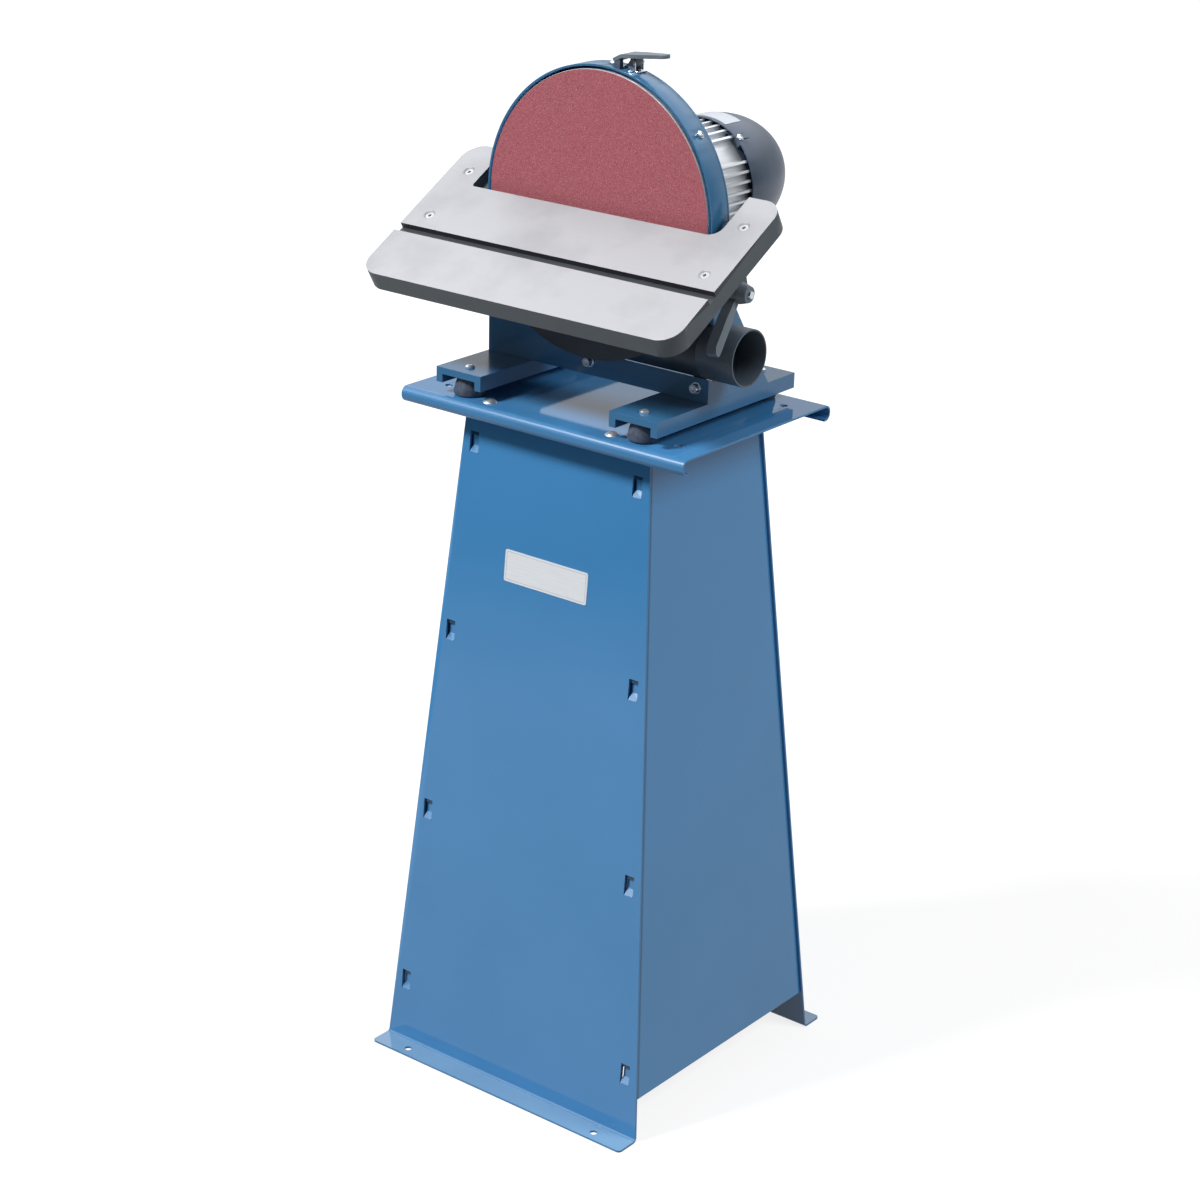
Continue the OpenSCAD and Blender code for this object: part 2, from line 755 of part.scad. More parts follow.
module collector_screws() {
    head_d = collector_screw_d * 1.7;
    washer = 1.5;
    face = -upright_y;
    color(steel) for (x = collector_screw_x) difference() {
        union() {
            rod_y(face - washer, face, collector_screw_d * 2.2, x, collector_screw_z);
            rod_y(face - washer - collector_screw_d, face, head_d, x, collector_screw_z);
            rod_y(face - 1, face + upright_t + collector_wall + 3, collector_screw_d, x, collector_screw_z);
        }
        hex_y(face - washer - collector_screw_d - 1, face - washer - 3, collector_screw_d * 0.83, x,
            collector_screw_z);
    }
}

// Motor plate, hood and their screws

tab_h = 4;
tab_w = 16;
hood_screw_y = plate_front - 11;
module hood_screw_places() {
    for (i = [-1 : 1])
        round_disc(hood_screw_mid + i * hood_screw_pitch) translate([0, hood_screw_y, 0]) children();
}
module motor_plate() {
    band_low = collector_top + 10;
    color(blue) {
        difference() {
            slab_y(plate_front, plate_back) {
                difference() {
                    union() {
                        translate([0, disc_z]) circle(hood_out);
                        translate([-gusset_in, band_low]) square([2 * gusset_in, stud_z + 40 - band_low]);
                    }
                    translate([0, disc_z]) circle(spigot_r + loose_gap);
                }
            }
            for (i = [0 : 3])
                round_disc(45 + 90 * i) translate([0, plate_front - 1, motor_bolt_r]) rotate([-90, 0, 0])
                    cylinder(d = motor_bolt_d + 2 * loose_gap, h = motor_plate_t + 2);
        }
        hood_screw_places() difference() {
            translate([-tab_w / 2, -5, hood_in - tab_h])
                cube([tab_w, plate_front - hood_screw_y + 5, tab_h]);
            cylinder(d = hood_screw_d + 2 * turn_gap, h = big);
            difference() {
                translate([-tab_w, -20, hood_in - 20]) cube([2 * tab_w, 60, 40]);
                translate([0, -30, 0]) rotate([-90, 0, 0]) cylinder(r = hood_in, h = 80);
            }
        }
    }
}
brake_pivot_r = hood_out + brake_rise;
brake_x = brake_pivot_r * sin(brake_angle);
brake_z = disc_z + brake_pivot_r * cos(brake_angle);
pad_w = 6;
pad_l = 8;
pad_x = brake_x - brake_pad_arm;
pad_y = plate_front - brake_w + (pad_w + 1) / 2;
module disc_hood() {
    color(blue) difference() {
        translate([0, 0, disc_z]) rotate([-90, 0, 0]) rotate([0, 0, 270 - hood_sweep])
            rotate_extrude(angle = 2 * hood_sweep, $fn = 120)
                translate([hood_in, hood_front]) square([hood_t, hood_w]);
        hood_screw_places() cylinder(d = hood_screw_d + 2 * loose_gap, h = big);
        block([pad_x - pad_l / 2 - 2, pad_x + pad_l / 2 + 2],
            [pad_y - pad_w / 2 - 1, pad_y + pad_w / 2 + 1], [disc_z, disc_z + big / 2]);
        round_disc(brake_angle) for (side = [-1, 1])
            translate([side * rivet_x, bracket_y, 0]) cylinder(d = rivet_d + 2 * turn_gap, h = big);
    }
}
module hood_screws() {
    color(steel) hood_screw_places() translate([0, 0, hood_out]) pan_screw(hood_screw_d, hood_t + tab_h - 1);
}

// Motor

motor_bolt_d = 6;
module motor_bolts() {
    head = 4;
    color(steel) for (i = [0 : 3]) round_disc(45 + 90 * i) translate([0, plate_front, motor_bolt_r])
        rotate([-90, 0, 0]) {
            translate([0, 0, -head]) cylinder(d = 10 / cos(30), h = head, $fn = 6);
            translate([0, 0, -1]) cylinder(d = motor_bolt_d, h = motor_plate_t + bell_flange);
        }
}
module front_end_bell() {
    color(aluminium) difference() {
        turned() polygon([
            [front_bearing_d / 2 - 5, plate_front], [spigot_r, plate_front], [spigot_r, bell_front],
            [fin_r - 3, bell_front], [fin_r - 3, bell_front + bell_flange],
            [core_r, bell_front + bell_flange + 3],
            [core_r, housing_y], [stator_r, housing_y], [stator_r, housing_y - 5],
            [front_bearing_d / 2 + 5, front_bearing_y + bearing_w + 2],
            [front_bearing_d / 2, front_bearing_y + bearing_w + 2], [front_bearing_d / 2, front_bearing_y],
            [front_bearing_d / 2 - 5, front_bearing_y]
        ]);
        for (i = [0 : 3])
            round_disc(45 + 90 * i) translate([0, bell_front - 1, motor_bolt_r]) rotate([-90, 0, 0])
                cylinder(d = motor_bolt_d + 2 * turn_gap, h = bell_flange + 1);
    }
}
// Fins stand in four groups, with smooth places between them where the housing is drawn together
function fin_group(middle, count) = [for (i = [1 : count]) middle + (i - (count + 1) / 2) * fin_step];
fin_angles = concat(
    fin_group(0, fin_side_count), fin_group(90, fin_top_count),
    fin_group(180, fin_side_count), fin_group(270, fin_top_count)
);
module motor_housing() {
    pad_half = box_z / 2 - 6;
    color(aluminium) difference() {
        union() {
            slab_y(housing_y, rear_bell_y) translate([0, disc_z]) {
                circle(core_r);
                for (angle = fin_angles)
                    rotate(angle) translate([0, -fin_t / 2]) square([fin_r, fin_t]);
            }
            block([box_back, -stator_r + 12], [housing_y, cowl_y - 1],
                [disc_z - pad_half, disc_z + pad_half]);
        }
        rod_y(housing_y - 1, rear_bell_y + 1, 2 * stator_r, 0, disc_z);
        box_bolt_places() rotate([0, 90, 0]) cylinder(d = box_bolt_d + 2 * turn_gap, h = 12);
    }
}
module rear_end_bell() {
    color("#39414a") {
        difference() {
            turned() polygon([
                [rear_bearing_bore / 2 + 2, rear_bearing_y + bearing_w],
                [rear_bearing_d / 2, rear_bearing_y + bearing_w],
                [rear_bearing_d / 2, rear_bearing_y], [rear_bearing_d / 2 + 5, rear_bearing_y],
                [stator_r, rear_bell_y + 6], [stator_r, rear_bell_y], [core_r, rear_bell_y],
                [core_r, rear_bell_y + 14], [rear_bearing_d / 2 + 6, rear_bearing_y + bearing_w + 4],
                [rear_bearing_bore / 2 + 2, rear_bearing_y + bearing_w + 4]
            ]);
        }
        cowl_screw_places() difference() {
            translate([-1.4 * cowl_screw_d, rear_bell_y - cowl_screw_y, core_r - 2])
                cube([2.8 * cowl_screw_d, 2.4 * cowl_screw_d, cowl_r - cowl_wall - 0.6 - core_r + 2]);
            cylinder(d = cowl_screw_d + 2 * turn_gap, h = big);
        }
    }
}
module stator_core() {
    color("#6b6d70") slab_y(core_y, core_y + core_l) translate([0, disc_z])
        ring2d(2 * stator_r - 2 * turn_gap, 2 * rotor_r + 2 * air_gap);
}
rotor_r = 37;
module stator_windings() {
    coil_in = rotor_r + 5;
    coil_out = stator_r - 4;
    coil_l = 14;
    color("#a8602f") turned() for (y = [core_y - coil_l, core_y + core_l])
        round_rect([coil_in, coil_out], [y, y + coil_l], 4);
}
module bearing(y, bore, outer) {
    groove = (outer - bore) / 2 * 0.3;
    color(steel) turned() difference() {
        translate([bore / 2, y]) square([(outer - bore) / 2, bearing_w]);
        for (face = [y - 1, y + bearing_w - 1])
            translate([bore / 2 + groove, face]) square([(outer - bore) / 2 - 2 * groove, 2]);
    }
}
module front_bearing() {
    bearing(front_bearing_y, front_bearing_bore + 2 * turn_gap, front_bearing_d);
}
module rear_bearing() {
    bearing(rear_bearing_y, rear_bearing_bore + 2 * turn_gap, rear_bearing_d);
}
module motor_shaft() {
    fan_seat = rear_bearing_bore - 3;
    color(steel) turned() polygon([
        [0, disc_back - 6], [hub_bore / 2, disc_back - 6], [hub_bore / 2, plate_front + 1],
        [front_bearing_bore / 2, plate_front + 1],
        [front_bearing_bore / 2, front_bearing_y + bearing_w + slide_gap],
        [front_bearing_bore / 2 + 3, front_bearing_y + bearing_w + slide_gap],
        [front_bearing_bore / 2 + 3, rear_bearing_y - slide_gap],
        [rear_bearing_bore / 2, rear_bearing_y - slide_gap],
        [rear_bearing_bore / 2, rear_bearing_y + bearing_w], [fan_seat / 2, rear_bearing_y + bearing_w],
        [fan_seat / 2, fan_y + 20], [0, fan_y + 20]
    ]);
}
module rotor_core() {
    color("#7c7f82") turned() difference() {
        translate([front_bearing_bore / 2 + 3 + turn_gap, core_y - 8])
            square([rotor_r - front_bearing_bore / 2 - 3 - turn_gap, core_l + 16]);
        for (y = [core_y - 9, core_y + core_l])
            translate([rotor_r - 6, y]) square([7, 9]);
    }
}
module cooling_fan() {
    hub_r = rear_bearing_bore / 2 + 6;
    fan_r = core_r - 4;
    fan_l = 16;
    blade_t = 2.4;
    color(black_plastic) {
        turned() polygon([
            [rear_bearing_bore / 2 - 1.5 + turn_gap, fan_y], [fan_r, fan_y], [fan_r, fan_y + 2.5],
            [hub_r, fan_y + 4], [hub_r, fan_y + fan_l],
            [rear_bearing_bore / 2 - 1.5 + turn_gap, fan_y + fan_l]
        ]);
        for (i = [0 : fan_blades - 1])
            round_disc(i * 360 / fan_blades) translate([-blade_t / 2, fan_y + 1, hub_r - 1])
                cube([blade_t, fan_l - 1, fan_r - hub_r + 1]);
    }
}
cowl_screw_d = 5;
cowl_screw_y = rear_bell_y + cowl_screw_d - 2;
module cowl_screw_places() {
    for (i = [0 : 3])
        round_disc(cowl_screw_angle + 90 * i) translate([0, cowl_screw_y, 0]) children();
}
// Bullet profile of the cowl at a given inset from its outer face
function cowl_profile(inset, n = 12) =
    let (r = cowl_r - inset, dome = cowl_dome - inset, end = cowl_l - cowl_straight - inset)
    let (last = asin(end / dome))
    concat(
        [[r, cowl_y]],
        [for (k = [0 : n]) let (t = last * k / n) [r * cos(t), cowl_y + cowl_straight + dome * sin(t)]]
    );
module fan_cowl() {
    vents = 16;
    vent_w = 4.5;
    outer = cowl_profile(0);
    inner = cowl_profile(cowl_wall);
    color("#39414a") difference() {
        turned() difference() {
            polygon(concat([[0, cowl_y]], outer, [[0, cowl_y + cowl_l]]));
            polygon(concat(
                [[0, cowl_y - 1], [cowl_r - cowl_wall, cowl_y - 1]],
                inner,
                [[0, inner[len(inner) - 1][1]]]
            ));
        }
        for (i = [0 : vents - 1])
            round_disc(i * 360 / vents) translate([-vent_w / 2, cowl_y + cowl_l - 6, 14])
                cube([vent_w, 10, cowl_r * 0.4]);
        cowl_screw_places() cylinder(d = cowl_screw_d + 2 * loose_gap, h = big);
    }
}
module cowl_screws() {
    color(steel) cowl_screw_places() translate([0, 0, cowl_r]) pan_screw(cowl_screw_d, 8);
}

// Switch box on the far side of the motor

box_front = box_back - box_x;
box_bolt_d = 5;
can_d = 24;
can_y = box_mid_y - box_y / 2 + box_wall + can_d / 2 + 1;
block_w = 26;
module box_bolt_places() {
    bolt_y = (can_y + can_d / 2 + button_y - block_w / 2) / 2;
    for (side = [-1, 1])
        translate([box_back - 1, bolt_y, disc_z + side * box_z / 3]) children();
}
module box_outline(inset) {
    half_y = box_y / 2 - inset;
    half_z = box_z / 2 - inset;
    translate([box_mid_y, disc_z]) round_rect([-half_y, half_y], [-half_z, half_z], 6 - inset / 2);
}
gland_x = box_back - box_x / 2;
gland_y = box_mid_y + box_y / 2;
gland_d = 20;
module switch_box() {
    color(black_plastic) difference() {
        slab_x(box_front, box_back) box_outline(0);
        slab_x(box_front - 1, box_back - box_wall - 1) box_outline(box_wall);
        rod_y(gland_y - box_wall - 1, gland_y + 1, gland_d + 2 * turn_gap, gland_x, disc_z);
        box_bolt_places() translate([-10, 0, 0]) rotate([0, 90, 0])
            cylinder(d = box_bolt_d + 2 * turn_gap, h = 20);
    }
    color(black_plastic) cover_screw_places() difference() {
        rotate([0, 90, 0]) cylinder(r = 4.5, h = box_x - box_wall - 1);
        rotate([0, 90, 0]) translate([0, 0, -1]) cylinder(d = cover_screw_d + 2 * turn_gap, h = 14);
    }
}
cover_screw_d = 3.5;
cover_t = 3;
module cover_screw_places() {
    for (sy = [-1, 1])
        for (sz = [-1, 1])
            translate([box_front, box_mid_y + sy * (box_y / 2 - 7.5), disc_z + sz * (box_z / 2 - 7.5)])
                children();
}
module switch_cover() {
    color("#22282e") difference() {
        slab_x(box_front - cover_t, box_front) box_outline(0);
        for (side = [-1, 1])
            rod_x(box_front - cover_t - 1, box_front + 1, button_d + 2 * slide_gap, button_y,
                disc_z + side * button_pitch / 2);
        cover_screw_places() translate([-cover_t - 1, 0, 0]) rotate([0, 90, 0])
            cylinder(d = cover_screw_d + 2 * loose_gap, h = cover_t + 2);
    }
}
module cover_screws() {
    color(steel) {
        cover_screw_places() translate([-cover_t, 0, 0]) rotate([0, -90, 0]) pan_screw(cover_screw_d, 12);
        box_bolt_places() translate([-box_wall, 0, 0]) rotate([0, -90, 0]) pan_screw(box_bolt_d, 10);
    }
}
block_x = box_back - box_wall - 1;
block_d = 20;
module contact_block() {
    color("#d8d4c4") block([block_x - block_d, block_x], [button_y - block_w / 2, button_y + block_w / 2],
        [disc_z - button_pitch / 2 - 12, disc_z + button_pitch / 2 + 12]);
}
module run_capacitor() {
    half = box_z / 2 - 14;
    color("#b9bec4") rod_z(disc_z - half, disc_z + half, can_d, block_x - can_d / 2, can_y);
}
module cable_gland() {
    lead_d = 9;
    color(black_plastic) difference() {
        union() {
            rod_y(gland_y - box_wall - 5, gland_y + 1, gland_d, gland_x, disc_z);
            hex_y(gland_y, gland_y + 7, gland_d * 1.2, gland_x, disc_z);
            translate([gland_x, gland_y + 7, disc_z]) rotate([-90, 0, 0])
                cylinder(d1 = gland_d * 1.1, d2 = gland_d * 0.8, h = 15);
        }
        rod_y(gland_y - 20, gland_y + 30, lead_d, gland_x, disc_z);
    }
}
// Push button with a collar that stops it behind the cover
module push_button(z, proud) {
    collar = 2;
    rod_x(box_front - cover_t - proud, box_front + slide_gap + 1, button_d, button_y, z);
    rod_x(box_front + slide_gap, box_front + slide_gap + collar, button_d + 5, button_y, z);
    rod_x(box_front + slide_gap, block_x - block_d - button_travel - slide_gap, 8, button_y, z);
}
module start_button() {
    color("#3f9a4c") push_button(disc_z + button_pitch / 2, button_travel + 1.5);
}
module stop_button() {
    color("#c23a32") push_button(disc_z - button_pitch / 2, button_travel + 5);
}

// Disc

hub_back = plate_front - hub_gap;
hub_screw_d = 6;
module disc_plate() {
    color(aluminium) difference() {
        turned() polygon([
            [0, -disc_front + abrasive_t], [disc_r, -disc_front + abrasive_t], [disc_r, disc_back],
            [hub_d / 2 + 4, disc_back], [hub_d / 2, disc_back + 4], [hub_d / 2, hub_back],
            [hub_bore / 2 + turn_gap, hub_back], [hub_bore / 2 + turn_gap, disc_back - 6 - loose_gap],
            [0, disc_back - 6 - loose_gap]
        ]);
        hub_screw_places() cylinder(d = hub_screw_d + 2 * turn_gap, h = hub_d);
    }
}
module abrasive_disc() {
    color("#a6626d") rod_y(-disc_front, -disc_front + abrasive_t, disc_d - 1, 0, disc_z);
}
module hub_screw_places() {
    for (i = [0 : 1])
        round_disc(90 * i + 45) translate([0, (disc_back + 4 + hub_back) / 2, 0]) children();
}
module hub_screws() {
    color("#4a4d50") hub_screw_places() difference() {
        translate([0, 0, hub_bore / 2 + 2 * turn_gap])
            cylinder(d = hub_screw_d, h = hub_d / 2 - hub_bore / 2 - 3);
        translate([0, 0, hub_d / 2 - 5]) cylinder(d = 3 / cos(30), h = 5, $fn = 6);
    }
}

// Brake

rivet_d = 3;
rivet_x = 7;
ear_t = 1.5;
ear_gap = 13;
bracket_y = plate_front - ear_gap / 2 - ear_t;
pin_d = 4;
ear_r = 4.2;
module brake_bracket() {
    base_l = 20;
    color(steel) round_disc(brake_angle) translate([0, bracket_y, hood_out]) difference() {
        union() {
            translate([-base_l / 2, -ear_gap / 2 - ear_t, 0]) cube([base_l, ear_gap + 2 * ear_t, ear_t]);
            for (side = [-1, 1])
                translate([0, side * (ear_gap + ear_t) / 2 + ear_t / 2, 0]) rotate([90, 0, 0])
                    linear_extrude(ear_t) {
                        translate([0, brake_rise]) circle(ear_r);
                        polygon([
                            [-base_l / 2, 0], [ear_r * 1.4, 0], [ear_r, brake_rise], [-ear_r, brake_rise]
                        ]);
                    }
        }
        translate([0, 0, brake_rise]) rotate([90, 0, 0])
            cylinder(d = pin_d + 2 * turn_gap, h = 60, center = true);
        for (side = [-1, 1])
            translate([side * rivet_x, 0, -1]) cylinder(d = rivet_d + 2 * turn_gap, h = 10);
    }
}
module brake_pin() {
    head = 1.2;
    half = ear_gap / 2 + ear_t + slide_gap;
    color(steel) {
        rod_y(bracket_y - half, bracket_y + half, pin_d, brake_x, brake_z);
        for (y = [bracket_y - half - head, bracket_y + half])
            rod_y(y, y + head, pin_d + 2.5, brake_x, brake_z);
        round_disc(brake_angle) for (side = [-1, 1])
            translate([side * rivet_x, bracket_y, hood_in]) {
                cylinder(d = rivet_d, h = hood_t + ear_t + 0.5);
                translate([0, 0, hood_t + ear_t]) rotate_extrude() intersection() {
                    translate([0, -1.5]) circle(3);
                    square([3, 3]);
                }
            }
    }
}
// Flat shapes in the lever's own plane, its pivot at the origin and its handle along +X
module in_brake_lever(width) {
    translate([brake_x, bracket_y + width / 2, brake_z]) rotate([90, 0, 0]) linear_extrude(width) children();
}
lever_t = 4;
brake_line = [
    [-brake_toe, brake_stand - brake_drop], [-brake_toe / 2, brake_stand], [brake_reach, brake_stand + 5]
];
// The lever seen from above: as wide as pad and bracket at the pivot, narrow at its round handle
module brake_plan() {
    tip_r = brake_w * 0.3;
    tip = brake_reach - tip_r;
    half = brake_w / 2;
    toe = -brake_toe - lever_t;
    translate([brake_x, plate_front - half]) {
        translate([tip, 0]) circle(tip_r);
        polygon([
            [toe, -half], [2 * ear_r, -half], [tip, -tip_r], [tip, tip_r], [2 * ear_r, half], [toe, half]
        ]);
    }
}
module brake_lever() {
    lug_w = ear_gap - 2 * slide_gap;
    color("#4a5054") difference() {
        union() {
            intersection() {
                in_brake_lever(4 * brake_w) bent_sheet(brake_line, 8, lever_t);
                slab_z(disc_z, disc_z + big / 2) brake_plan();
            }
            in_brake_lever(lug_w) {
                circle(ear_r);
                translate([-ear_r, 0]) square([2 * ear_r, brake_stand]);
            }
        }
        in_brake_lever(60) circle(d = pin_d + 2 * turn_gap);
    }
}
module brake_pad() {
    along = unit(brake_line[1] - brake_line[0]);
    seat = brake_line[0] - square_to(along) * lever_t / 2;
    color("#3a3532") difference() {
        block([pad_x - pad_l / 2, pad_x + pad_l / 2], [pad_y - pad_w / 2, pad_y + pad_w / 2],
            [disc_z, brake_z + brake_stand]);
        rod_y(-big / 2, big / 2, 2 * (disc_r + brake_gap), 0, disc_z, $fn = 480);
        in_brake_lever(60) polygon([
            seat - brake_toe * along, seat + brake_toe * along,
            seat + brake_toe * (along + square_to(along)), seat - brake_toe * (along - square_to(along))
        ]);
    }
}

// Table tilt

module tilt_bracket() {
    head_r = 13;
    slab_x(bracket_x, bracket_x + bracket_t) difference() {
        link2d([stud_y, stud_z], gusset_head_r, [-pivot_y, pivot_z], head_r);
        translate([stud_y, stud_z]) circle(d = clamp_d + 2 * loose_gap);
        translate([-pivot_y, pivot_z]) circle(d = pivot_d + 2 * turn_gap);
    }
}
module right_tilt_bracket() {
    color(blue) tilt_bracket();
}
module left_tilt_bracket() {
    color(blue) mirror([1, 0, 0]) tilt_bracket();
}
pivot_head_d = 15;
pivot_head_l = 5;
module pivot_bolts() {
    color(steel) both_sides() difference() {
        union() {
            rod_x(bracket_x, washer_x, pivot_d, -pivot_y, pivot_z);
            rod_x(washer_x, washer_x + pivot_head_l, pivot_head_d, -pivot_y, pivot_z);
        }
        hex_x(washer_x + pivot_head_l - 3, washer_x + pivot_head_l + 1, 6, -pivot_y, pivot_z);
    }
}
module clamp_studs() {
    nut = 6.5;
    color(steel) both_sides() {
        rod_x(gusset_in - nut - 1, stud_end, clamp_d, stud_y, stud_z);
        hex_x(gusset_in - nut, gusset_in, clamp_d * 1.6, stud_y, stud_z);
        rod_x(washer_x, washer_x + washer_t, clamp_d * 2.4, stud_y, stud_z);
    }
}
// Clamp lever: round hub on the stud, narrow neck and a flat handle that leans outwards
module clamp_lever() {
    neck_w = 9;
    handle_w = 13;
    handle_t = 12;
    lean = 8;
    arm_x = lever_x + lever_hub_l * 0.45;
    color("#30373d") difference() {
        union() {
            translate([lever_x, stud_y, stud_z]) rotate([0, 90, 0]) rotate_extrude() polygon([
                [0, 0], [lever_hub_d / 2 - 2, 0], [lever_hub_d / 2, 4], [lever_hub_d / 2, lever_hub_l * 0.7],
                [lever_hub_d / 2 - 3, lever_hub_l], [0, lever_hub_l]
            ]);
            translate([arm_x, stud_y, stud_z]) rotate([-lever_angle, 0, 0]) rotate([0, -lean, 0])
                slab_x(-handle_t / 2, handle_t / 2) polygon([
                    [-neck_w / 2, 0], [-neck_w / 2, -lever_hub_d * 0.7],
                    [-handle_w / 2, -lever_hub_d * 1.4], [-handle_w / 2, -lever_l + handle_w / 2],
                    [-handle_w / 6, -lever_l], [handle_w / 3, -lever_l],
                    [handle_w / 2, -lever_l + handle_w / 4], [handle_w / 2, -lever_hub_d * 1.4],
                    [neck_w / 2, -lever_hub_d * 0.7], [neck_w / 2, 0]
                ]);
        }
        rod_x(lever_x - 1, lever_x + lever_hub_l + 1, clamp_d + 2 * turn_gap, stud_y, stud_z);
    }
}
module right_clamp_lever() {
    clamp_lever();
}
module left_clamp_lever() {
    mirror([1, 0, 0]) clamp_lever();
}
// Table pieces are drawn level about the tilt axis and then laid to the slope they stand at
module on_table(tilt = table_tilt) {
    translate([0, -pivot_y, pivot_z]) rotate([tilt, 0, 0]) children();
}
table_top = pivot_drop;
table_under = table_top - table_t;
notch_y = -pivot_back;
slot_from = clamp_angle;
slot_to = clamp_angle + tilt_max;
function below(r, angle) = [-r * sin(angle), -r * cos(angle)];
module trunnion() {
    web_r = clamp_r + 9;
    half = clamp_d / 2 + slide_gap;
    flange_y = [notch_y - table_screw_v[1] - 16, notch_y - table_screw_v[0] + 20];
    flange_z = [table_under - trunnion_flange, table_under];
    on_table() difference() {
        union() {
            slab_x(web_x, web_x + web_t) {
                circle(13);
                intersection() {
                    circle(web_r);
                    polygon([
                        [13, flange_z[1]], [13, 0], below(2 * web_r, slot_from - 7.5),
                        below(3 * web_r, slot_to - 20), below(2 * web_r, slot_to + 9),
                        [-2 * web_r, flange_z[1]]
                    ]);
                }
            }
            block([web_x, flange_x], flange_y, flange_z);
        }
        slab_x(web_x - 1, web_x + web_t + 1) {
            circle(d = pivot_d + 2 * turn_gap);
            intersection() {
                ring2d(2 * clamp_r + 2 * half, 2 * clamp_r - 2 * half);
                polygon([[0, 0], below(2 * web_r, slot_from), below(3 * web_r, (slot_from + slot_to) / 2),
                    below(2 * web_r, slot_to)]);
            }
            translate(below(clamp_r, slot_from)) circle(half);
            translate(below(clamp_r, slot_to)) circle(half);
        }
        rod_x(web_x + web_t, washer_x + pivot_head_l + 1, pivot_head_d + 4, 0, 0);
        table_screw_places() translate([0, 0, -big / 2]) cylinder(d = table_screw_d + 2 * turn_gap, h = big);
    }
}
module right_trunnion() {
    color("#3c4146") trunnion();
}
module left_trunnion() {
    color("#3c4146") mirror([1, 0, 0]) trunnion();
}
module table_screw_places() {
    for (v = table_screw_v)
        translate([table_screw_x, notch_y - v, table_top]) children();
}
module table_outline(inset) {
    round_rect([-table_w / 2 + inset, table_w / 2 - inset],
        [notch_y - table_d + inset, notch_y + arm_l - inset], table_r - inset);
}
module notch_outline() {
    difference() {
        translate([-notch_w / 2, notch_y]) square([notch_w, 1.5 * arm_l]);
        notch_corner(-1, notch_left_r);
        notch_corner(1, notch_right_r);
    }
}
module notch_corner(side, r) {
    translate([side * (notch_w / 2 - r), notch_y + r]) difference() {
        translate([side * r / 2, -r / 2]) square([r + 2, r + 2], center = true);
        circle(r);
        translate([-side * r, 0]) square(2 * r, center = true);
        translate([0, r]) square(2 * r, center = true);
    }
}
module sanding_table() {
    rib_t = 7;
    hole_d = table_screw_d + 2 * loose_gap;
    sink_h = (countersink_d - hole_d) / 2;
    skirt_z = table_top - skirt_h;
    arm_end = notch_y + arm_l;
    color(cast_grey) on_table() difference() {
        union() {
            slab_z(table_under, table_top) table_outline(0);
            slab_z(skirt_z, table_top) difference() {
                table_outline(0);
                table_outline(skirt_t);
            }
            for (x = [-table_w / 6, table_w / 6])
                block([x - rib_t / 2, x + rib_t / 2], [notch_y - table_d + 2, notch_y - 20],
                    [skirt_z + 3, table_under + 1]);
        }
        slab_z(skirt_z - 1, table_top + 1) notch_outline();
        slab_x(-table_w, table_w) polygon([
            [arm_end, table_top], [arm_end - arm_slope, skirt_z], [arm_end - arm_slope, skirt_z - 1],
            [arm_end + 1, skirt_z - 1], [arm_end + 1, table_top]
        ]);
        block([-table_w, table_w], [notch_y - groove_at - groove_w, notch_y - groove_at],
            [table_top - groove_h, table_top + 1]);
        both_sides() table_screw_places() {
            translate([0, 0, -big / 2]) cylinder(d = hole_d, h = big);
            translate([0, 0, -sink_h]) cylinder(d1 = hole_d, d2 = countersink_d, h = sink_h);
        }
    }
}
module table_screws() {
    head_d = 1.7 * table_screw_d;
    head_h = (head_d - table_screw_d) / 2;
    sunk = (countersink_d - head_d) / 2 - loose_gap;
    low = table_t + trunnion_flange;
    color(steel) on_table() both_sides() table_screw_places() difference() {
        union() {
            translate([0, 0, -sunk - head_h]) cylinder(d1 = table_screw_d, d2 = head_d, h = head_h);
            translate([0, 0, -low]) cylinder(d = table_screw_d, h = low - sunk - 1);
        }
        translate([0, 0, -sunk - 2]) cylinder(d = table_screw_d * 0.67 / cos(30), h = 3, $fn = 6);
    }
}

stand_front_panel();
stand_rear_panel();
stand_left_panel();
stand_right_panel();
stand_top_plate();
top_plate_bolts();
top_plate_nuts();
left_rail();
right_rail();
rubber_feet();
foot_screws();
support_plate();
left_gusset();
right_gusset();
dust_collector();
dust_outlet();
collector_screws();
motor_plate();
disc_hood();
hood_screws();
motor_bolts();
front_end_bell();
motor_housing();
rear_end_bell();
stator_core();
stator_windings();
front_bearing();
rear_bearing();
fan_cowl();
cowl_screws();
switch_box();
switch_cover();
cover_screws();
contact_block();
run_capacitor();
cable_gland();
start_button();
stop_button();
motor_shaft();
rotor_core();
cooling_fan();
disc_plate();
abrasive_disc();
hub_screws();
brake_bracket();
brake_pin();
brake_lever();
brake_pad();
left_tilt_bracket();
right_tilt_bracket();
pivot_bolts();
clamp_studs();
left_clamp_lever();
right_clamp_lever();
left_trunnion();
right_trunnion();
sanding_table();
table_screws();
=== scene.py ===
import json
import math

import bpy
from mathutils import Matrix, Vector


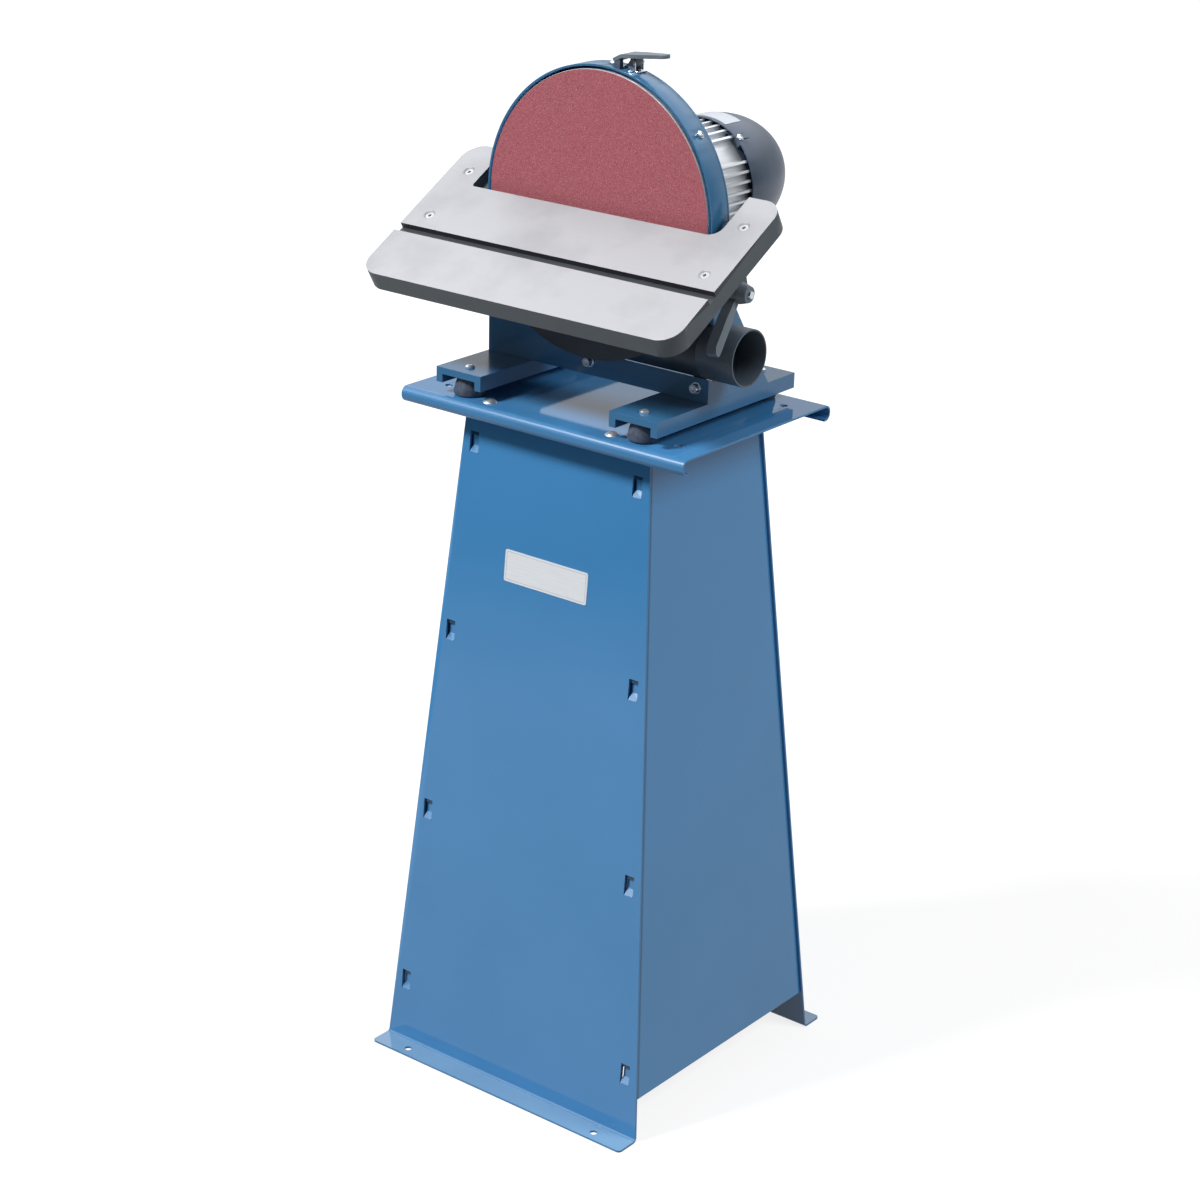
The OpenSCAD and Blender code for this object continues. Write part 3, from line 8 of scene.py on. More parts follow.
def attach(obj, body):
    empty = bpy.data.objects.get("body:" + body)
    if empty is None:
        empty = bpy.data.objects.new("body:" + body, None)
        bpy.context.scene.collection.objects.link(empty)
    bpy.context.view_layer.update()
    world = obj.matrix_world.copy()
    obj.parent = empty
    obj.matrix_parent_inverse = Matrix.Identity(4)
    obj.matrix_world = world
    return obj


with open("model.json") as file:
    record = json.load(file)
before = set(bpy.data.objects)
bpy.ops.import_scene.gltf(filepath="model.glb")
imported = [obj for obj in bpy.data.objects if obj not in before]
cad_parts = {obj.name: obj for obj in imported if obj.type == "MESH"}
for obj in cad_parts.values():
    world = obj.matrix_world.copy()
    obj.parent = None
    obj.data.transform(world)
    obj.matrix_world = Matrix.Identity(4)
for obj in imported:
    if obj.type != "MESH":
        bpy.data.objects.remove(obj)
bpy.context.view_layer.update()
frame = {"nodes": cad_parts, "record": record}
nodes = frame["nodes"]
scene = bpy.context.scene
scene.view_settings.view_transform = "Standard"
print("frame loaded:", len(nodes), "nodes")

# the camera stands where the photograph was taken from, lens and roll from the same fit
# metres and degrees, with lens and sensor in millimetres
camera = {
    "place": (1.8339, -2.3676, 1.7460),
    "azimuth": 37.98,
    "elevation": 21.33,
    "roll": 1.44,
    "lens": 82.07,
    "sensor": 36.0,
    "clip": (0.05, 60),
}


def makeCamera(c):
    a, e, r = (math.radians(c[k]) for k in ("azimuth", "elevation", "roll"))
    back = Vector((math.sin(a) * math.cos(e), -math.cos(a) * math.cos(e), math.sin(e)))
    right = (-back).cross(Vector((0, 0, 1))).normalized()
    up = right.cross(-back)
    sideways = right * math.cos(r) + up * math.sin(r)
    upright = up * math.cos(r) - right * math.sin(r)
    data = bpy.data.cameras.new("camera")
    data.lens = c["lens"]
    data.sensor_width = c["sensor"]
    data.clip_start, data.clip_end = c["clip"]
    seen = bpy.data.objects.new("camera", data)
    turn = Matrix((sideways, upright, back)).transposed().to_4x4()
    seen.matrix_world = Matrix.Translation(c["place"]) @ turn
    scene.collection.objects.link(seen)
    scene.camera = seen


makeCamera(camera)
print("camera placed")


# colours are written as sRGB hex and turned to linear here
def toLinear(hexColour):
    parts = [int(hexColour[i:i + 2], 16) / 255 for i in (1, 3, 5)]
    bent = [p / 12.92 if p <= 0.04045 else ((p + 0.055) / 1.055) ** 2.4 for p in parts]
    return (*bent, 1)


# pattern scale that gives features of this size in millimetres, on coordinates in metres
def perMm(size):
    return 1000 / size


# one node with its settings (property or socket, a number means the socket's place),
# the links into it and the socket that its first output feeds
def addNode(tree, kind, settings=None, links=None, onto=None):
    made = tree.nodes.new("ShaderNode" + kind)
    for key, value in (settings or {}).items():
        if isinstance(key, str) and hasattr(made, key):
            setattr(made, key, value)
        else:
            made.inputs[key].default_value = value
    for key, source in (links or {}).items():
        tree.links.new(source, made.inputs[key])
    if onto is not None:
        tree.links.new(made.outputs[0], onto)
    return made


def newMaterial(name, settings):
    material = bpy.data.materials.new(name)
    material.use_nodes = True
    tree = material.node_tree
    shader = tree.nodes["Principled BSDF"]
    for key, value in settings.items():
        shader.inputs[key].default_value = value
    place = addNode(tree, "TexCoord").outputs["Object"]
    return material, tree, shader, place


# two tones clouded into each other by a soft noise of the given size, with the roughness following it
# where the finish has a range for it; gives the colour and the noise
def mottle(tree, shader, place, p, size, detail=3, low=0.35, high=0.65, stretch=(1, 1, 1)):
    spread = addNode(tree, "Mapping", {"Scale": stretch}, {"Vector": place})
    pattern = {"Scale": perMm(size), "Detail": detail}
    noise = addNode(tree, "TexNoise", pattern, {"Vector": spread.outputs[0]})
    cloud = noise.outputs["Fac"]
    ramp = addNode(tree, "ValToRGB", None, {"Fac": cloud}, shader.inputs["Base Color"])
    for stop, position, tone in zip(ramp.color_ramp.elements, (low, high), (p["shade"], p["tone"])):
        stop.position = position
        stop.color = toLinear(tone)
    if "rough" in p:
        smooth, rough = p["rough"]
        addNode(tree, "MapRange", {"To Min": smooth, "To Max": rough}, {"Value": cloud},
                shader.inputs["Roughness"])
    return ramp.outputs["Color"], cloud


# fine relief of the given size and depth in millimetres; gives the noise that makes it
def relief(tree, shader, place, size, depth, detail=2):
    noise = addNode(tree, "TexNoise", {"Scale": perMm(size), "Detail": detail}, {"Vector": place})
    height = noise.outputs["Fac"]
    addNode(tree, "Bump", {"Distance": depth / 1000}, {"Height": height}, shader.inputs["Normal"])
    return height


# how far the stand's front panel leans back for each unit of height
panelLean = 0.0863

# powder coat baked on sheet steel: even colour, a wet gloss and a faint orange peel
powderCoat = {
    "tone": "#4586bc", "shade": "#4283b8", "rough": (0.05, 0.08),
    "driftMm": 160, "peelMm": 2.2, "peelDepthMm": 0.006,
}
# the side panels turn in behind the front panel; along their bends there a dark band is painted in as the
# shade of the gap between the panels, and their tone is painted a little bluer than the front's to take off
# some reflected sheen on that side
sideCoat = {**powderCoat, "tone": "#4189c1", "shade": "#3f86bd"}
paintedSeamShade = {"lean": panelLean, "startMm": 164.5, "endMm": 168.5, "strength": 0.8, "tone": "#10283c"}
# the machine on the stand has a deeper blue with less gloss
machineCoat = {**powderCoat, "tone": "#3a6f98", "shade": "#386c94", "rough": (0.16, 0.22)}
# powder gathers on bends and hooks, where the coat comes out thick and satin; their tone is also drawn
# darker than the flat faces, as painted shade
bendCoat = {**powderCoat, "tone": "#3f7cae", "shade": "#3c79aa", "rough": (0.36, 0.44)}
# the stand's feet are drawn paler: painted light and sheen for the bright light and reflection their
# upturned faces catch
footSheenCoat = {**powderCoat, "tone": "#7ca4c6", "shade": "#749dc0"}


def makePowderCoat(p, name, seamShade=None):
    material, tree, shader, place = newMaterial(name, {"IOR": 1.5})
    colour = mottle(tree, shader, place, p, p["driftMm"])[0]
    relief(tree, shader, place, p["peelMm"], p["peelDepthMm"])
    # painted shade: the side panels are darkened in a narrow band just behind the front panel's plane,
    # where the gap between the panels lies
    if seamShade:
        parts = addNode(tree, "SeparateXYZ", None, {0: place}).outputs
        lean = addNode(tree, "Math", {"operation": "MULTIPLY", 1: seamShade["lean"]}, {0: parts["Z"]})
        ahead = addNode(tree, "Math", {"operation": "SUBTRACT"}, {0: lean.outputs[0], 1: parts["Y"]})
        start, end = seamShade["startMm"] / 1000, seamShade["endMm"] / 1000
        span = {"From Min": start, "From Max": end, "To Max": seamShade["strength"]}
        depth = addNode(tree, "MapRange", span, {"Value": ahead.outputs[0]})
        addNode(tree, "MixRGB", {"Color2": toLinear(seamShade["tone"])},
                {"Fac": depth.outputs["Result"], "Color1": colour}, shader.inputs["Base Color"])
    return material


# ABS moulded in a spark-eroded tool: dark, fine-grained and only dully glossy
# a real grain is about 0.2 mm; drawn coarser here so that it shows at this distance
mouldedAbs = {
    "tone": "#2e3945", "shade": "#28323d", "rough": (0.42, 0.52),
    "driftMm": 70, "grainMm": 0.9, "grainDepthMm": 0.03,
}
# the outlet is drawn paler than the other mouldings: painted light, so that its deep bore doesn't go as
# dark as its shade makes it
paleOutletAbs = {**mouldedAbs, "tone": "#4c5865", "shade": "#444f5b"}


def makeMouldedAbs(p, name):
    material, tree, shader, place = newMaterial(name, {"IOR": 1.53})
    mottle(tree, shader, place, p, p["driftMm"])
    relief(tree, shader, place, p["grainMm"], p["grainDepthMm"], detail=3)
    return material


# cast iron, surface-ground: a dull metal sheen, with grinding lines along the table and hand marks
# a real grinding line is about 0.1 mm; drawn coarser here so that it shows
groundIron = {
    "tone": "#a5a6aa", "shade": "#9a9b9f", "metallic": 0.52, "markMm": 85,
    "lineMm": 1.1, "lineDepthMm": 0.006, "lineRough": (0.5, 0.64), "lineStretch": (0.01, 1, 1),
}


def makeGroundIron(p):
    material, tree, shader, place = newMaterial("groundCastIron", {"Metallic": p["metallic"]})
    mottle(tree, shader, place, p, p["markMm"], detail=5, low=0.3, high=0.52)
    along = addNode(tree, "Mapping", {"Scale": p["lineStretch"]}, {"Vector": place})
    lines = relief(tree, shader, along.outputs[0], p["lineMm"], p["lineDepthMm"], detail=3)
    smooth, rough = p["lineRough"]
    addNode(tree, "MapRange", {"To Min": smooth, "To Max": rough}, {"Value": lines},
            shader.inputs["Roughness"])
    return material


# iron left as cast and painted: dull dark grey with the sand's grain showing through
castPaint = {
    "tone": "#4a5358", "shade": "#414a50", "rough": (0.42, 0.55),
    "driftMm": 35, "sandMm": 1.6, "sandDepthMm": 0.09,
}
# the table's groove is drawn darker: painted shade in the recess
shadedGroove = {**castPaint, "tone": "#30343a", "shade": "#2a2e34"}
# oil-blackened steel of the levers: lighter and greyer than paint
blackenedSteel = {**castPaint, "tone": "#6b7680", "shade": "#606b75", "sandDepthMm": 0.03}


def makeCastPaint(p, name):
    material, tree, shader, place = newMaterial(name, {"IOR": 1.5})
    mottle(tree, shader, place, p, p["driftMm"])
    relief(tree, shader, place, p["sandMm"], p["sandDepthMm"], detail=4)
    return material


# aluminium-oxide grit glued on cloth: red-brown grains with dark and bright ones among them
# a real 80 grit is 0.2 mm; drawn coarser here so that it shows at this distance
gritCloth = {
    "tone": "#a8555f", "shade": "#86414c", "spark": "#c58e94", "roughness": 0.78,
    "grainMm": 1.3, "sparkMm": 1.04, "sparkDepthMm": 0.25, "sparkFrom": 0.62, "sparkTo": 0.72,
}


def makeGritCloth(p):
    material, tree, shader, place = newMaterial("oxideGritCloth", {"Roughness": p["roughness"], "IOR": 1.6})
    colour = mottle(tree, shader, place, p, p["grainMm"], detail=2, low=0.3, high=0.6)[0]
    spots = relief(tree, shader, place, p["sparkMm"], p["sparkDepthMm"], detail=1)
    span = {"From Min": p["sparkFrom"], "From Max": p["sparkTo"]}
    sparks = addNode(tree, "MapRange", span, {"Value": spots})
    addNode(tree, "MixRGB", {"Color2": toLinear(p["spark"])},
            {"Fac": sparks.outputs["Result"], "Color1": colour}, shader.inputs["Base Color"])
    return material


# cloth backing of the abrasive, bare where the disc was cut: pale between grit and glue, quite matt
cutCloth = {"tone": "#d8cdc8", "shade": "#cbbfba", "roughness": 0.8, "weaveMm": 2}


def makeCutCloth(p):
    material, tree, shader, place = newMaterial("cutClothEdge", {"Roughness": p["roughness"]})
    mottle(tree, shader, place, p, p["weaveMm"])
    return material


# pressure die-cast aluminium, tumbled and lacquered: pale, dull silver
# a tumbled grain is about 0.2 mm; drawn coarser here so that it shows
castAluminium = {
    "tone": "#dfe3e8", "shade": "#d2d7dd", "metallic": 0.82, "rough": (0.38, 0.5),
    "driftMm": 26, "grainMm": 0.8, "grainDepthMm": 0.03,
}


def makeCastAluminium(p):
    material, tree, shader, place = newMaterial("dieCastAluminium", {"Metallic": p["metallic"]})
    mottle(tree, shader, place, p, p["driftMm"])
    relief(tree, shader, place, p["grainMm"], p["grainDepthMm"])
    return material


# steel plated with bright zinc: shiny, slightly blue, with cloudy patches
brightZinc = {"tone": "#e3e9f0", "shade": "#ccd4dd", "metallic": 1.0, "rough": (0.16, 0.26), "cloudMm": 5}
# screw heads of the table, ground over with it
groundZinc = {**brightZinc, "tone": "#b7babd", "shade": "#abaeb1", "rough": (0.42, 0.52)}
# bolts and screws of the base have a dull film of dust on their plating
dustyZinc = {**brightZinc, "tone": "#dbe3ec", "shade": "#c3ccd6", "metallic": 0.72, "rough": (0.26, 0.38)}


def makeBrightZinc(p, name):
    material, tree, shader, place = newMaterial(name, {"Metallic": p["metallic"]})
    mottle(tree, shader, place, p, p["cloudMm"])
    return material


# turned and rolled steel, oiled: grey metal with a fine cloudiness
bareSteel = {"tone": "#9a9da1", "shade": "#83868a", "metallic": 1.0, "rough": (0.28, 0.4), "cloudMm": 1.5}


def makeBareSteel(p):
    material, tree, shader, place = newMaterial("machinedSteel", {"Metallic": p["metallic"]})
    mottle(tree, shader, place, p, p["cloudMm"])
    return material


# stove enamel on a pressed cowl: dark blue grey with a clear gloss
darkEnamel = {
    "tone": "#4b596c", "shade": "#445163", "rough": (0.26, 0.34),
    "driftMm": 50, "peelMm": 3.0, "peelDepthMm": 0.01,
}


def makeDarkEnamel(p):
    material, tree, shader, place = newMaterial("darkStoveEnamel", {"IOR": 1.5})
    mottle(tree, shader, place, p, p["driftMm"])
    relief(tree, shader, place, p["peelMm"], p["peelDepthMm"])
    return material


# natural rubber, compression moulded: dusty grey and quite matt, tinted blue as painted bounce light from
# the blue paint around it
dustyRubberBlueBounce = {"tone": "#49556a", "shade": "#333d4c", "rough": (0.6, 0.8), "dustMm": 6, "dustDepthMm": 0.1}


def makeDustyRubber(p):
    material, tree, shader, place = newMaterial("mouldedRubber", {"IOR": 1.52})
    dust = mottle(tree, shader, place, p, p["dustMm"], detail=4)[1]
    addNode(tree, "Bump", {"Distance": p["dustDepthMm"] / 1000}, {"Height": dust}, shader.inputs["Normal"])
    return material


# gloss mouldings of the push buttons and the cream block behind them: even colour, clear gloss
glossMoulding = {"rough": (0.22, 0.32), "driftMm": 12}
greenAbs = {**glossMoulding, "tone": "#2f8a45", "shade": "#2a7d3e"}
redAbs = {**glossMoulding, "tone": "#b8302a", "shade": "#a92a25"}
creamPhenolic = {**glossMoulding, "tone": "#d3cdb9", "shade": "#c6bfa9"}


def makeGlossPlastic(p, name):
    material, tree, shader, place = newMaterial(name, {"IOR": 1.5})
    mottle(tree, shader, place, p, p["driftMm"])
    return material


# copper wire of the windings, varnished: red-brown strands with a soft metal gloss
copperWire = {
    "tone": "#b56a34", "shade": "#8a4a22", "metallic": 0.8, "rough": (0.3, 0.45),
    "strandMm": 3, "stretch": (1, 8, 1),
}


def makeCopperWire(p):
    material, tree, shader, place = newMaterial("varnishedCopper", {"Metallic": p["metallic"]})
    mottle(tree, shader, place, p, p["strandMm"], detail=2, low=0.4, high=0.6, stretch=p["stretch"])
    return material


# rolled aluminium, brushed and clear-lacquered: pale satin with fine streaks along its length
# a real streak is about 0.1 mm; drawn coarser here so that it shows
satinPlate = {
    "tone": "#e9edf2", "shade": "#e0e5ea", "metallic": 0.15, "rough": (0.35, 0.45),
    "streakMm": 0.8, "stretch": (0.04, 1, 1),
}
# the one on the motor is drawn darker, as painted shade against the strong light from above; the stamped
# line on the front plate shares this tone
darkerPlate = {**satinPlate, "tone": "#c6ccd5", "shade": "#bdc4cd"}


def makeSatinPlate(p, name):
    material, tree, shader, place = newMaterial(name, {"Metallic": p["metallic"]})
    mottle(tree, shader, place, p, p["streakMm"], detail=2, low=0.3, high=0.7, stretch=p["stretch"])
    return material


paintedIron = makeCastPaint(castPaint, "paintedCastIron")
# the record's material slots first, then the finishes that single pieces or faces have instead
finishes = {
    "blue_paint": makePowderCoat(powderCoat, "bluePowderCoat"),
    "black_plastic": makeMouldedAbs(mouldedAbs, "darkMouldedAbs"),
    "plated_steel": makeBrightZinc(brightZinc, "zincPlatedSteel"),
    "bare_steel": makeBareSteel(bareSteel),
    "ground_iron": paintedIron,
    "painted_iron": paintedIron,
    "cast_aluminium": makeCastAluminium(castAluminium),
    "grey_paint": makeDarkEnamel(darkEnamel),
    "abrasive_cloth": makeGritCloth(gritCloth),
    "rubber": makeDustyRubber(dustyRubberBlueBounce),
    "copper_wire": makeCopperWire(copperWire),
    "green_plastic": makeGlossPlastic(greenAbs, "greenAbs"),
    "red_plastic": makeGlossPlastic(redAbs, "redAbs"),
    "cream_plastic": makeGlossPlastic(creamPhenolic, "creamPhenolic"),
    "side_paint_seam_shade": makePowderCoat(sideCoat, "bluePowderCoatSeamShade", paintedSeamShade),
    "machine_paint": makePowderCoat(machineCoat, "deepBluePowderCoat"),
    "bend_paint": makePowderCoat(bendCoat, "satinPowderCoat"),
    "foot_sheen_paint": makePowderCoat(footSheenCoat, "footSheenPowderCoat"),
    "pale_outlet_plastic": makeMouldedAbs(paleOutletAbs, "paleOutletMouldedAbs"),
    "lever_steel": makeCastPaint(blackenedSteel, "blackenedSteel"),
    "ground_zinc": makeBrightZinc(groundZinc, "groundZincSteel"),
    "dusty_zinc": makeBrightZinc(dustyZinc, "dustyZincSteel"),
    "table_top": makeGroundIron(groundIron),
    "table_groove": makeCastPaint(shadedGroove, "shadedGroove"),
    "cut_cloth": makeCutCloth(cutCloth),
    "front_plate": makeSatinPlate(satinPlate, "brushedAluminium"),
    "stamped_line": makeSatinPlate(darkerPlate, "stampedLine"),
    "cowl_plate": makeSatinPlate(darkerPlate, "shadedAluminium"),
}
print("finishes made:", len(finishes))

# pieces that don't have the finish of their slot in the record
ownFinish = {
    "side_paint_seam_shade": ("stand_left_panel", "stand_right_panel"),
    "lever_steel": ("left_clamp_lever", "right_clamp_lever", "brake_lever"),
    "ground_zinc": ("table_screws",),
    "dusty_zinc": ("top_plate_bolts", "foot_screws"),
    "pale_outlet_plastic": ("dust_outlet",),
    "machine_paint": (
        "left_rail", "right_rail", "support_plate", "left_gusset", "right_gusset",
        "motor_plate", "disc_hood", "left_tilt_bracket", "right_tilt_bracket",
    ),
}
finishOf = {p["node"]: p["material_slot"] for p in frame["record"]["subparts"]}
for finish, names in ownFinish.items():
    finishOf.update((name, finish) for name in names)

# broken edges, in millimetres: castings are rounder than sheet and turned pieces
edges = {
    "sanding_table": 1.0, "left_trunnion": 1.0, "right_trunnion": 1.0, "brake_lever": 0.8,
    "left_rail": 0.25, "right_rail": 0.25, "left_gusset": 0.25, "right_gusset": 0.25, "support_plate": 0.25,
}
# other pieces' edges and the gap that is welded shut, in millimetres, and the least angle in degrees
# that counts as an edge
edgeRule = {"otherMm": 0.4, "weldMm": 0.01, "sharpAngle": 32, "segments": 2}


def dress(name, finish):
    piece = nodes[name]
    mesh = piece.data
    mesh.materials.clear()
    mesh.materials.append(finish)
    weld = piece.modifiers.new("weld", "WELD")
    weld.merge_threshold = edgeRule["weldMm"] / 1000
    broken = piece.modifiers.new("brokenEdges", "BEVEL")
    broken.width = edges.get(name, edgeRule["otherMm"]) / 1000
    broken.segments = edgeRule["segments"]
    broken.limit_method = "ANGLE"
    broken.angle_limit = math.radians(edgeRule["sharpAngle"])
    broken.harden_normals = True


for name in nodes:
    dress(name, finishes[finishOf[name]])

# the table's upper face and its countersinks are ground, its groove is darkened with painted shade, and the
# rest is painted
# slope in degrees; rises are how far a face looks up from the table: 1 for flat, 0 for a wall
tableTop = {
    "slope": 30, "flatRise": 0.99, "skinMm": 1, "sinkRise": (0.4, 0.95), "sinkDepthMm": 5,
    "grooveDepthMm": 8, "wallRise": 0.1, "wallDepthMm": 5,
}


def grindTable(t):
    mesh = nodes["sanding_table"].data
    mesh.materials.append(finishes["table_top"])
    mesh.materials.append(finishes["table_groove"])
    lean = math.radians(t["slope"])
    upward = Vector((0, -math.sin(lean), math.cos(lean)))
    top = max(f.center.dot(upward) for f in mesh.polygons)
    depths = ("skinMm", "sinkDepthMm", "grooveDepthMm", "wallDepthMm")
    skin, sink, groove, wall = (t[k] / 1000 for k in depths)
    steep, shallow = t["sinkRise"]
    for f in mesh.polygons:
        rise = f.normal.dot(upward)
        below = top - f.center.dot(upward)
        flat = rise > t["flatRise"]
        if (flat and below < skin) or (steep < rise < shallow and below < sink):
            f.material_index = 1
        elif skin < below < groove and (flat or (abs(rise) < t["wallRise"] and below < wall)):
            f.material_index = 2


grindTable(tableTop)

# the stand's flat faces keep the gloss, its bends turn satin and darker with painted shade, and its feet
# paler with painted light and sheen
# a face is flat where it looks at least this much along its panel's own directions
standFaces = {"flat": 0.98, "footMm": 10}


def finishStand(s):
    for name in ("stand_front_panel", "stand_rear_panel", "stand_top_plate"):
        mesh = nodes[name].data
        mesh.materials.append(finishes["foot_sheen_paint"])
        mesh.materials.append(finishes["bend_paint"])
        flatWays = "z" if name == "stand_top_plate" else "yz"
        for f in mesh.polygons:
            if f.normal.z > s["flat"] and f.center.z < s["footMm"] / 1000:
                f.material_index = 1
            elif max(abs(getattr(f.normal, way)) for way in flatWays) < s["flat"]:
                f.material_index = 2


finishStand(standFaces)

# faces of the disc that look less than this much along its axis are its cut edge
cutEdgeFacing = 0.5


def bareCutEdge(facing):
    mesh = nodes["abrasive_disc"].data
    mesh.materials.append(finishes["cut_cloth"])
    for f in mesh.polygons:
        if abs(f.normal.y) < facing:
            f.material_index = 1


bareCutEdge(cutEdgeFacing)
print("CAD pieces dressed")

sheetMm = 0.4  # thickness of the bare plates


# a thin sheet of metal that rides on the frame
def addSheet(name, points, faces, finish):
    mesh = bpy.data.meshes.new(name)
    mesh.from_pydata(points, [], faces)
    mesh.materials.append(finish)
    piece = bpy.data.objects.new(name, mesh)
    scene.collection.objects.link(piece)
    thick = piece.modifiers.new("thickness", "SOLIDIFY")
    thick.thickness = sheetMm / 1000
    thick.offset = 0
    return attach(piece, "frame")


# bare plate on the front panel, in millimetres: its middle's height, its size, where the panel's plane
# meets the floor, and the rings at these insets, of which the second pair bounds a stamped line
# the nudge, in radians, puts both points at a quarter turn on the next corner
frontPlate = {
    "z": 640, "wide": 121, "high": 38, "foot": 175.12, "lean": panelLean, "proud": 0.25,
    "insets": (0, 2.2, 3.0), "corner": 3, "leastCorner": 0.3, "cornerPoints": 7, "nudge": 1e-4,
}


def makeFrontPlate(p):
    points, faces = [], []
    corner = p["cornerPoints"]
    around = 4 * corner
    for inset in p["insets"]:
        r = max(p["corner"] - inset, p["leastCorner"])
        for i in range(around):
            t = math.radians(90 * (i // corner) + 90 / (corner - 1) * (i % corner))
            x = math.copysign(p["wide"] / 2 - inset - r, math.cos(t + p["nudge"])) + r * math.cos(t)
            up = math.copysign(p["high"] / 2 - inset - r, math.sin(t + p["nudge"])) + r * math.sin(t)
            z = p["z"] + up
            y = -p["foot"] + p["lean"] * z - p["proud"]
            points.append((x / 1000, y / 1000, z / 1000))
    for ring in range(len(p["insets"]) - 1):
        for i in range(around):
            a, b = ring * around + i, ring * around + (i + 1) % around
            faces.append((a, b, b + around, a + around))
    faces.append(tuple(range(len(points) - around, len(points))))
    plate = addSheet("front_plate", points, faces, finishes["front_plate"])
    plate.data.materials.append(finishes["stamped_line"])
    for f in plate.data.polygons[around:2 * around]:
        f.material_index = 1


# bare plate bent round the cowl, in millimetres and degrees up from the right about the motor's axis
# past its straight stretch the cowl is domed, and the plate follows it
cowlPlate = {
    "from": 154, "to": 184, "start": 67, "end": 110, "r": 74.5, "axis": 1052, "straight": 174, "dome": 100,
    "proud": 0.3, "rows": 4, "across": 13,
}


def makeCowlPlate(p):
    points, faces = [], []
    rows, across = p["rows"], p["across"]
    for i in range(rows):
        y = p["from"] + (p["to"] - p["from"]) * i / (rows - 1)
        r = p["r"] * math.sqrt(1 - (max(0, y - p["straight"]) / p["dome"]) ** 2) + p["proud"]
        for k in range(across):
            t = math.radians(p["start"] + (p["end"] - p["start"]) * k / (across - 1))
            points.append((r * math.cos(t) / 1000, y / 1000, (p["axis"] + r * math.sin(t)) / 1000))
    for i in range(rows - 1):
        for k in range(across - 1):
            a = i * across + k
            faces.append((a, a + 1, a + across + 1, a + across))
    addSheet("cowl_plate", points, faces, finishes["cowl_plate"])


makeFrontPlate(frontPlate)
makeCowlPlate(cowlPlate)
print("bare plates added")

# pale studio floor and white surround, both white to the camera and to reflections
# reaches are in metres on the floor, and parts of a unit direction in the surround
stageLook = {
    "floorTone": "#8f8f90",
    "floorRough": 0.9,
    "floorSize": 14,
    "floorDropMm": 0.5,
    "nearGlow": 0.82,
    "farGlow": 1.0,
    "glowReach": (0.8, 2.4),
    "mirrorGlow": 0.85,
    "mirrorReach": (1.8, 3.0),
    "frontAxis": (-0.59, -0.81, 0),
    "skyStrength": 0.2,
    "frontStrength": 0.3,
    "sweepAxis": (-0.5, 0.64, 0.58),
    "sweepReach": (-0.3, 0.3),
    "horizonShine": 0.55,
    "overheadShine": 2.0,
    "shineReach": (0.2, 0.6),
}
white = (1, 1, 1, 1)


def makeFloor(s):
    mesh = bpy.data.meshes.new("floor")
    h = s["floorSize"] / 2
    mesh.from_pydata([(-h, -h, 0), (h, -h, 0), (h, h, 0), (-h, h, 0)], [], [(0, 1, 2, 3)])
    floor = bpy.data.objects.new("floor", mesh)
    floor.location.z = -s["floorDropMm"] / 1000
    scene.collection.objects.link(floor)
    plain = {"Base Color": toLinear(s["floorTone"]), "Roughness": s["floorRough"], "Specular IOR Level": 0}
    material, tree, shader, place = newMaterial("paleFloor", plain)
    ray = addNode(tree, "LightPath").outputs
    far = addNode(tree, "VectorMath", {"operation": "LENGTH"}, {0: place}).outputs["Value"]
    facing = {"operation": "DOT_PRODUCT", 1: s["frontAxis"]}
    ahead = addNode(tree, "VectorMath", facing, {0: place}).outputs["Value"]
    glowStart, glowEnd = s["glowReach"]
    brighten = {"From Min": glowStart, "From Max": glowEnd, "To Min": s["nearGlow"], "To Max": s["farGlow"]}
    near = addNode(tree, "MapRange", brighten, {"Value": far})
    mirrorStart, mirrorEnd = s["mirrorReach"]
    fade = {"From Min": mirrorStart, "From Max": mirrorEnd, "To Min": s["mirrorGlow"], "To Max": 0.0}
    sweep = addNode(tree, "MapRange", fade, {"Value": ahead})
    glow = addNode(tree, "Emission", {"Color": white}, {"Strength": near.outputs["Result"]})
    mirror = addNode(tree, "Emission", {"Color": white}, {"Strength": sweep.outputs["Result"]})
    both = addNode(tree, "AddShader", None, {0: shader.outputs[0], 1: glow.outputs[0]})
    seen = addNode(tree, "MixShader", None,
                   {0: ray["Is Camera Ray"], 1: shader.outputs[0], 2: both.outputs[0]})
    addNode(tree, "MixShader", None, {0: ray["Is Glossy Ray"], 1: seen.outputs[0], 2: mirror.outputs[0]},
            tree.nodes["Material Output"].inputs["Surface"])
    mesh.materials.append(material)


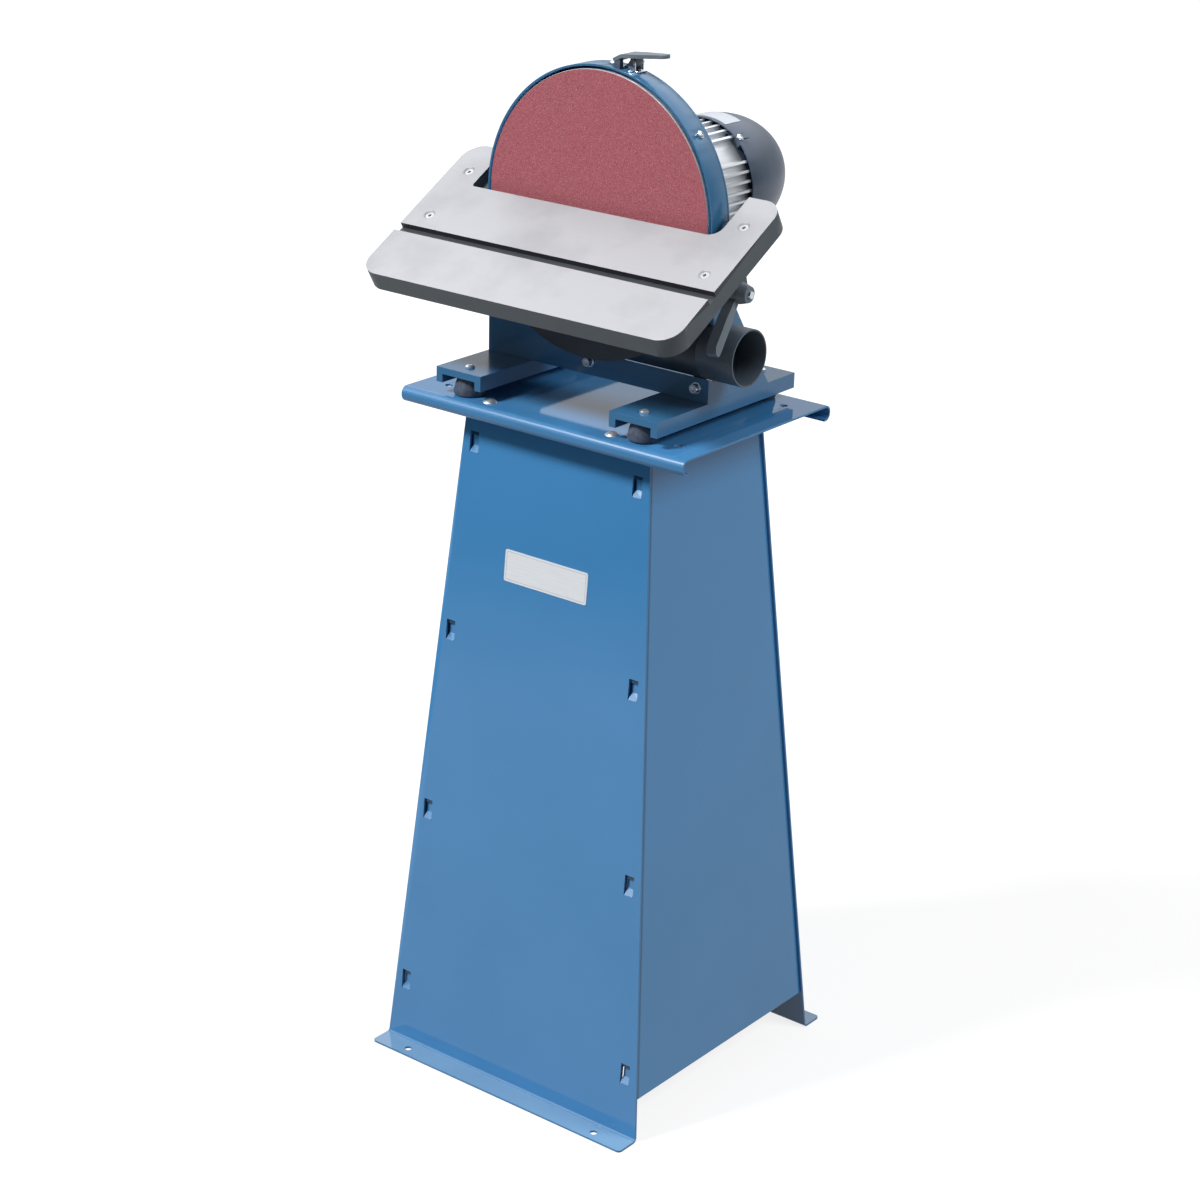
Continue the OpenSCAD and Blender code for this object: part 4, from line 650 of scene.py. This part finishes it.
def makeSurround(s):
    scene.world = bpy.data.worlds.new("studio")
    scene.world.use_nodes = True
    sky = scene.world.node_tree
    backdrop = sky.nodes["Background"]
    backdrop.inputs["Color"].default_value = white
    ray = addNode(sky, "LightPath").outputs
    way = addNode(sky, "TexCoord").outputs["Generated"]
    facing = {"operation": "DOT_PRODUCT", 1: s["sweepAxis"]}
    along = addNode(sky, "VectorMath", facing, {0: way}).outputs["Value"]
    sweepStart, sweepEnd = s["sweepReach"]
    sweep = {"From Min": sweepStart, "From Max": sweepEnd, "To Min": s["frontStrength"], "To Max": 1.0}
    room = addNode(sky, "MapRange", sweep, {"Value": along})
    rise = addNode(sky, "SeparateXYZ", None, {0: way}).outputs["Z"]
    shineStart, shineEnd = s["shineReach"]
    climb = {"From Min": shineStart, "From Max": shineEnd,
             "To Min": s["horizonShine"], "To Max": s["overheadShine"]}
    above = addNode(sky, "MapRange", climb, {"Value": rise})
    bright = addNode(sky, "Math", {"operation": "MULTIPLY"},
                     {0: room.outputs["Result"], 1: above.outputs["Result"]})
    shine = addNode(sky, "Mix", {"A": s["skyStrength"]},
                    {"Factor": ray["Is Glossy Ray"], "B": bright.outputs[0]})
    addNode(sky, "Mix", {"B": 1.0}, {"Factor": ray["Is Camera Ray"], "A": shine.outputs[0]},
            backdrop.inputs["Strength"])


makeFloor(stageLook)
makeSurround(stageLook)

# a soft box high in front, small enough for the table and the plate's lip to throw a clear shade,
# and a large weaker one high on the right behind that isn't seen in reflections
softBoxes = {
    "key": {"place": (-2.3, -4.2, 5.8), "size": 1.25, "watts": 515, "mirrored": True},
    "side": {"place": (3.75, 1.25, 3.8), "size": 1.8, "watts": 128, "mirrored": False},
}
lampAim = (0, 0, 0.7)  # both look at a spot a little above the object's middle


def makeSoftBox(name, s):
    data = bpy.data.lights.new(name, "AREA")
    data.shape = "SQUARE"
    data.size = s["size"]
    data.energy = s["watts"]
    lamp = bpy.data.objects.new(name, data)
    lamp.location = s["place"]
    lamp.visible_glossy = s["mirrored"]
    lamp.rotation_euler = (Vector(lampAim) - Vector(s["place"])).to_track_quat("-Z", "Y").to_euler()
    scene.collection.objects.link(lamp)


for name, box in softBoxes.items():
    makeSoftBox(name, box)
print("stage and light ready")
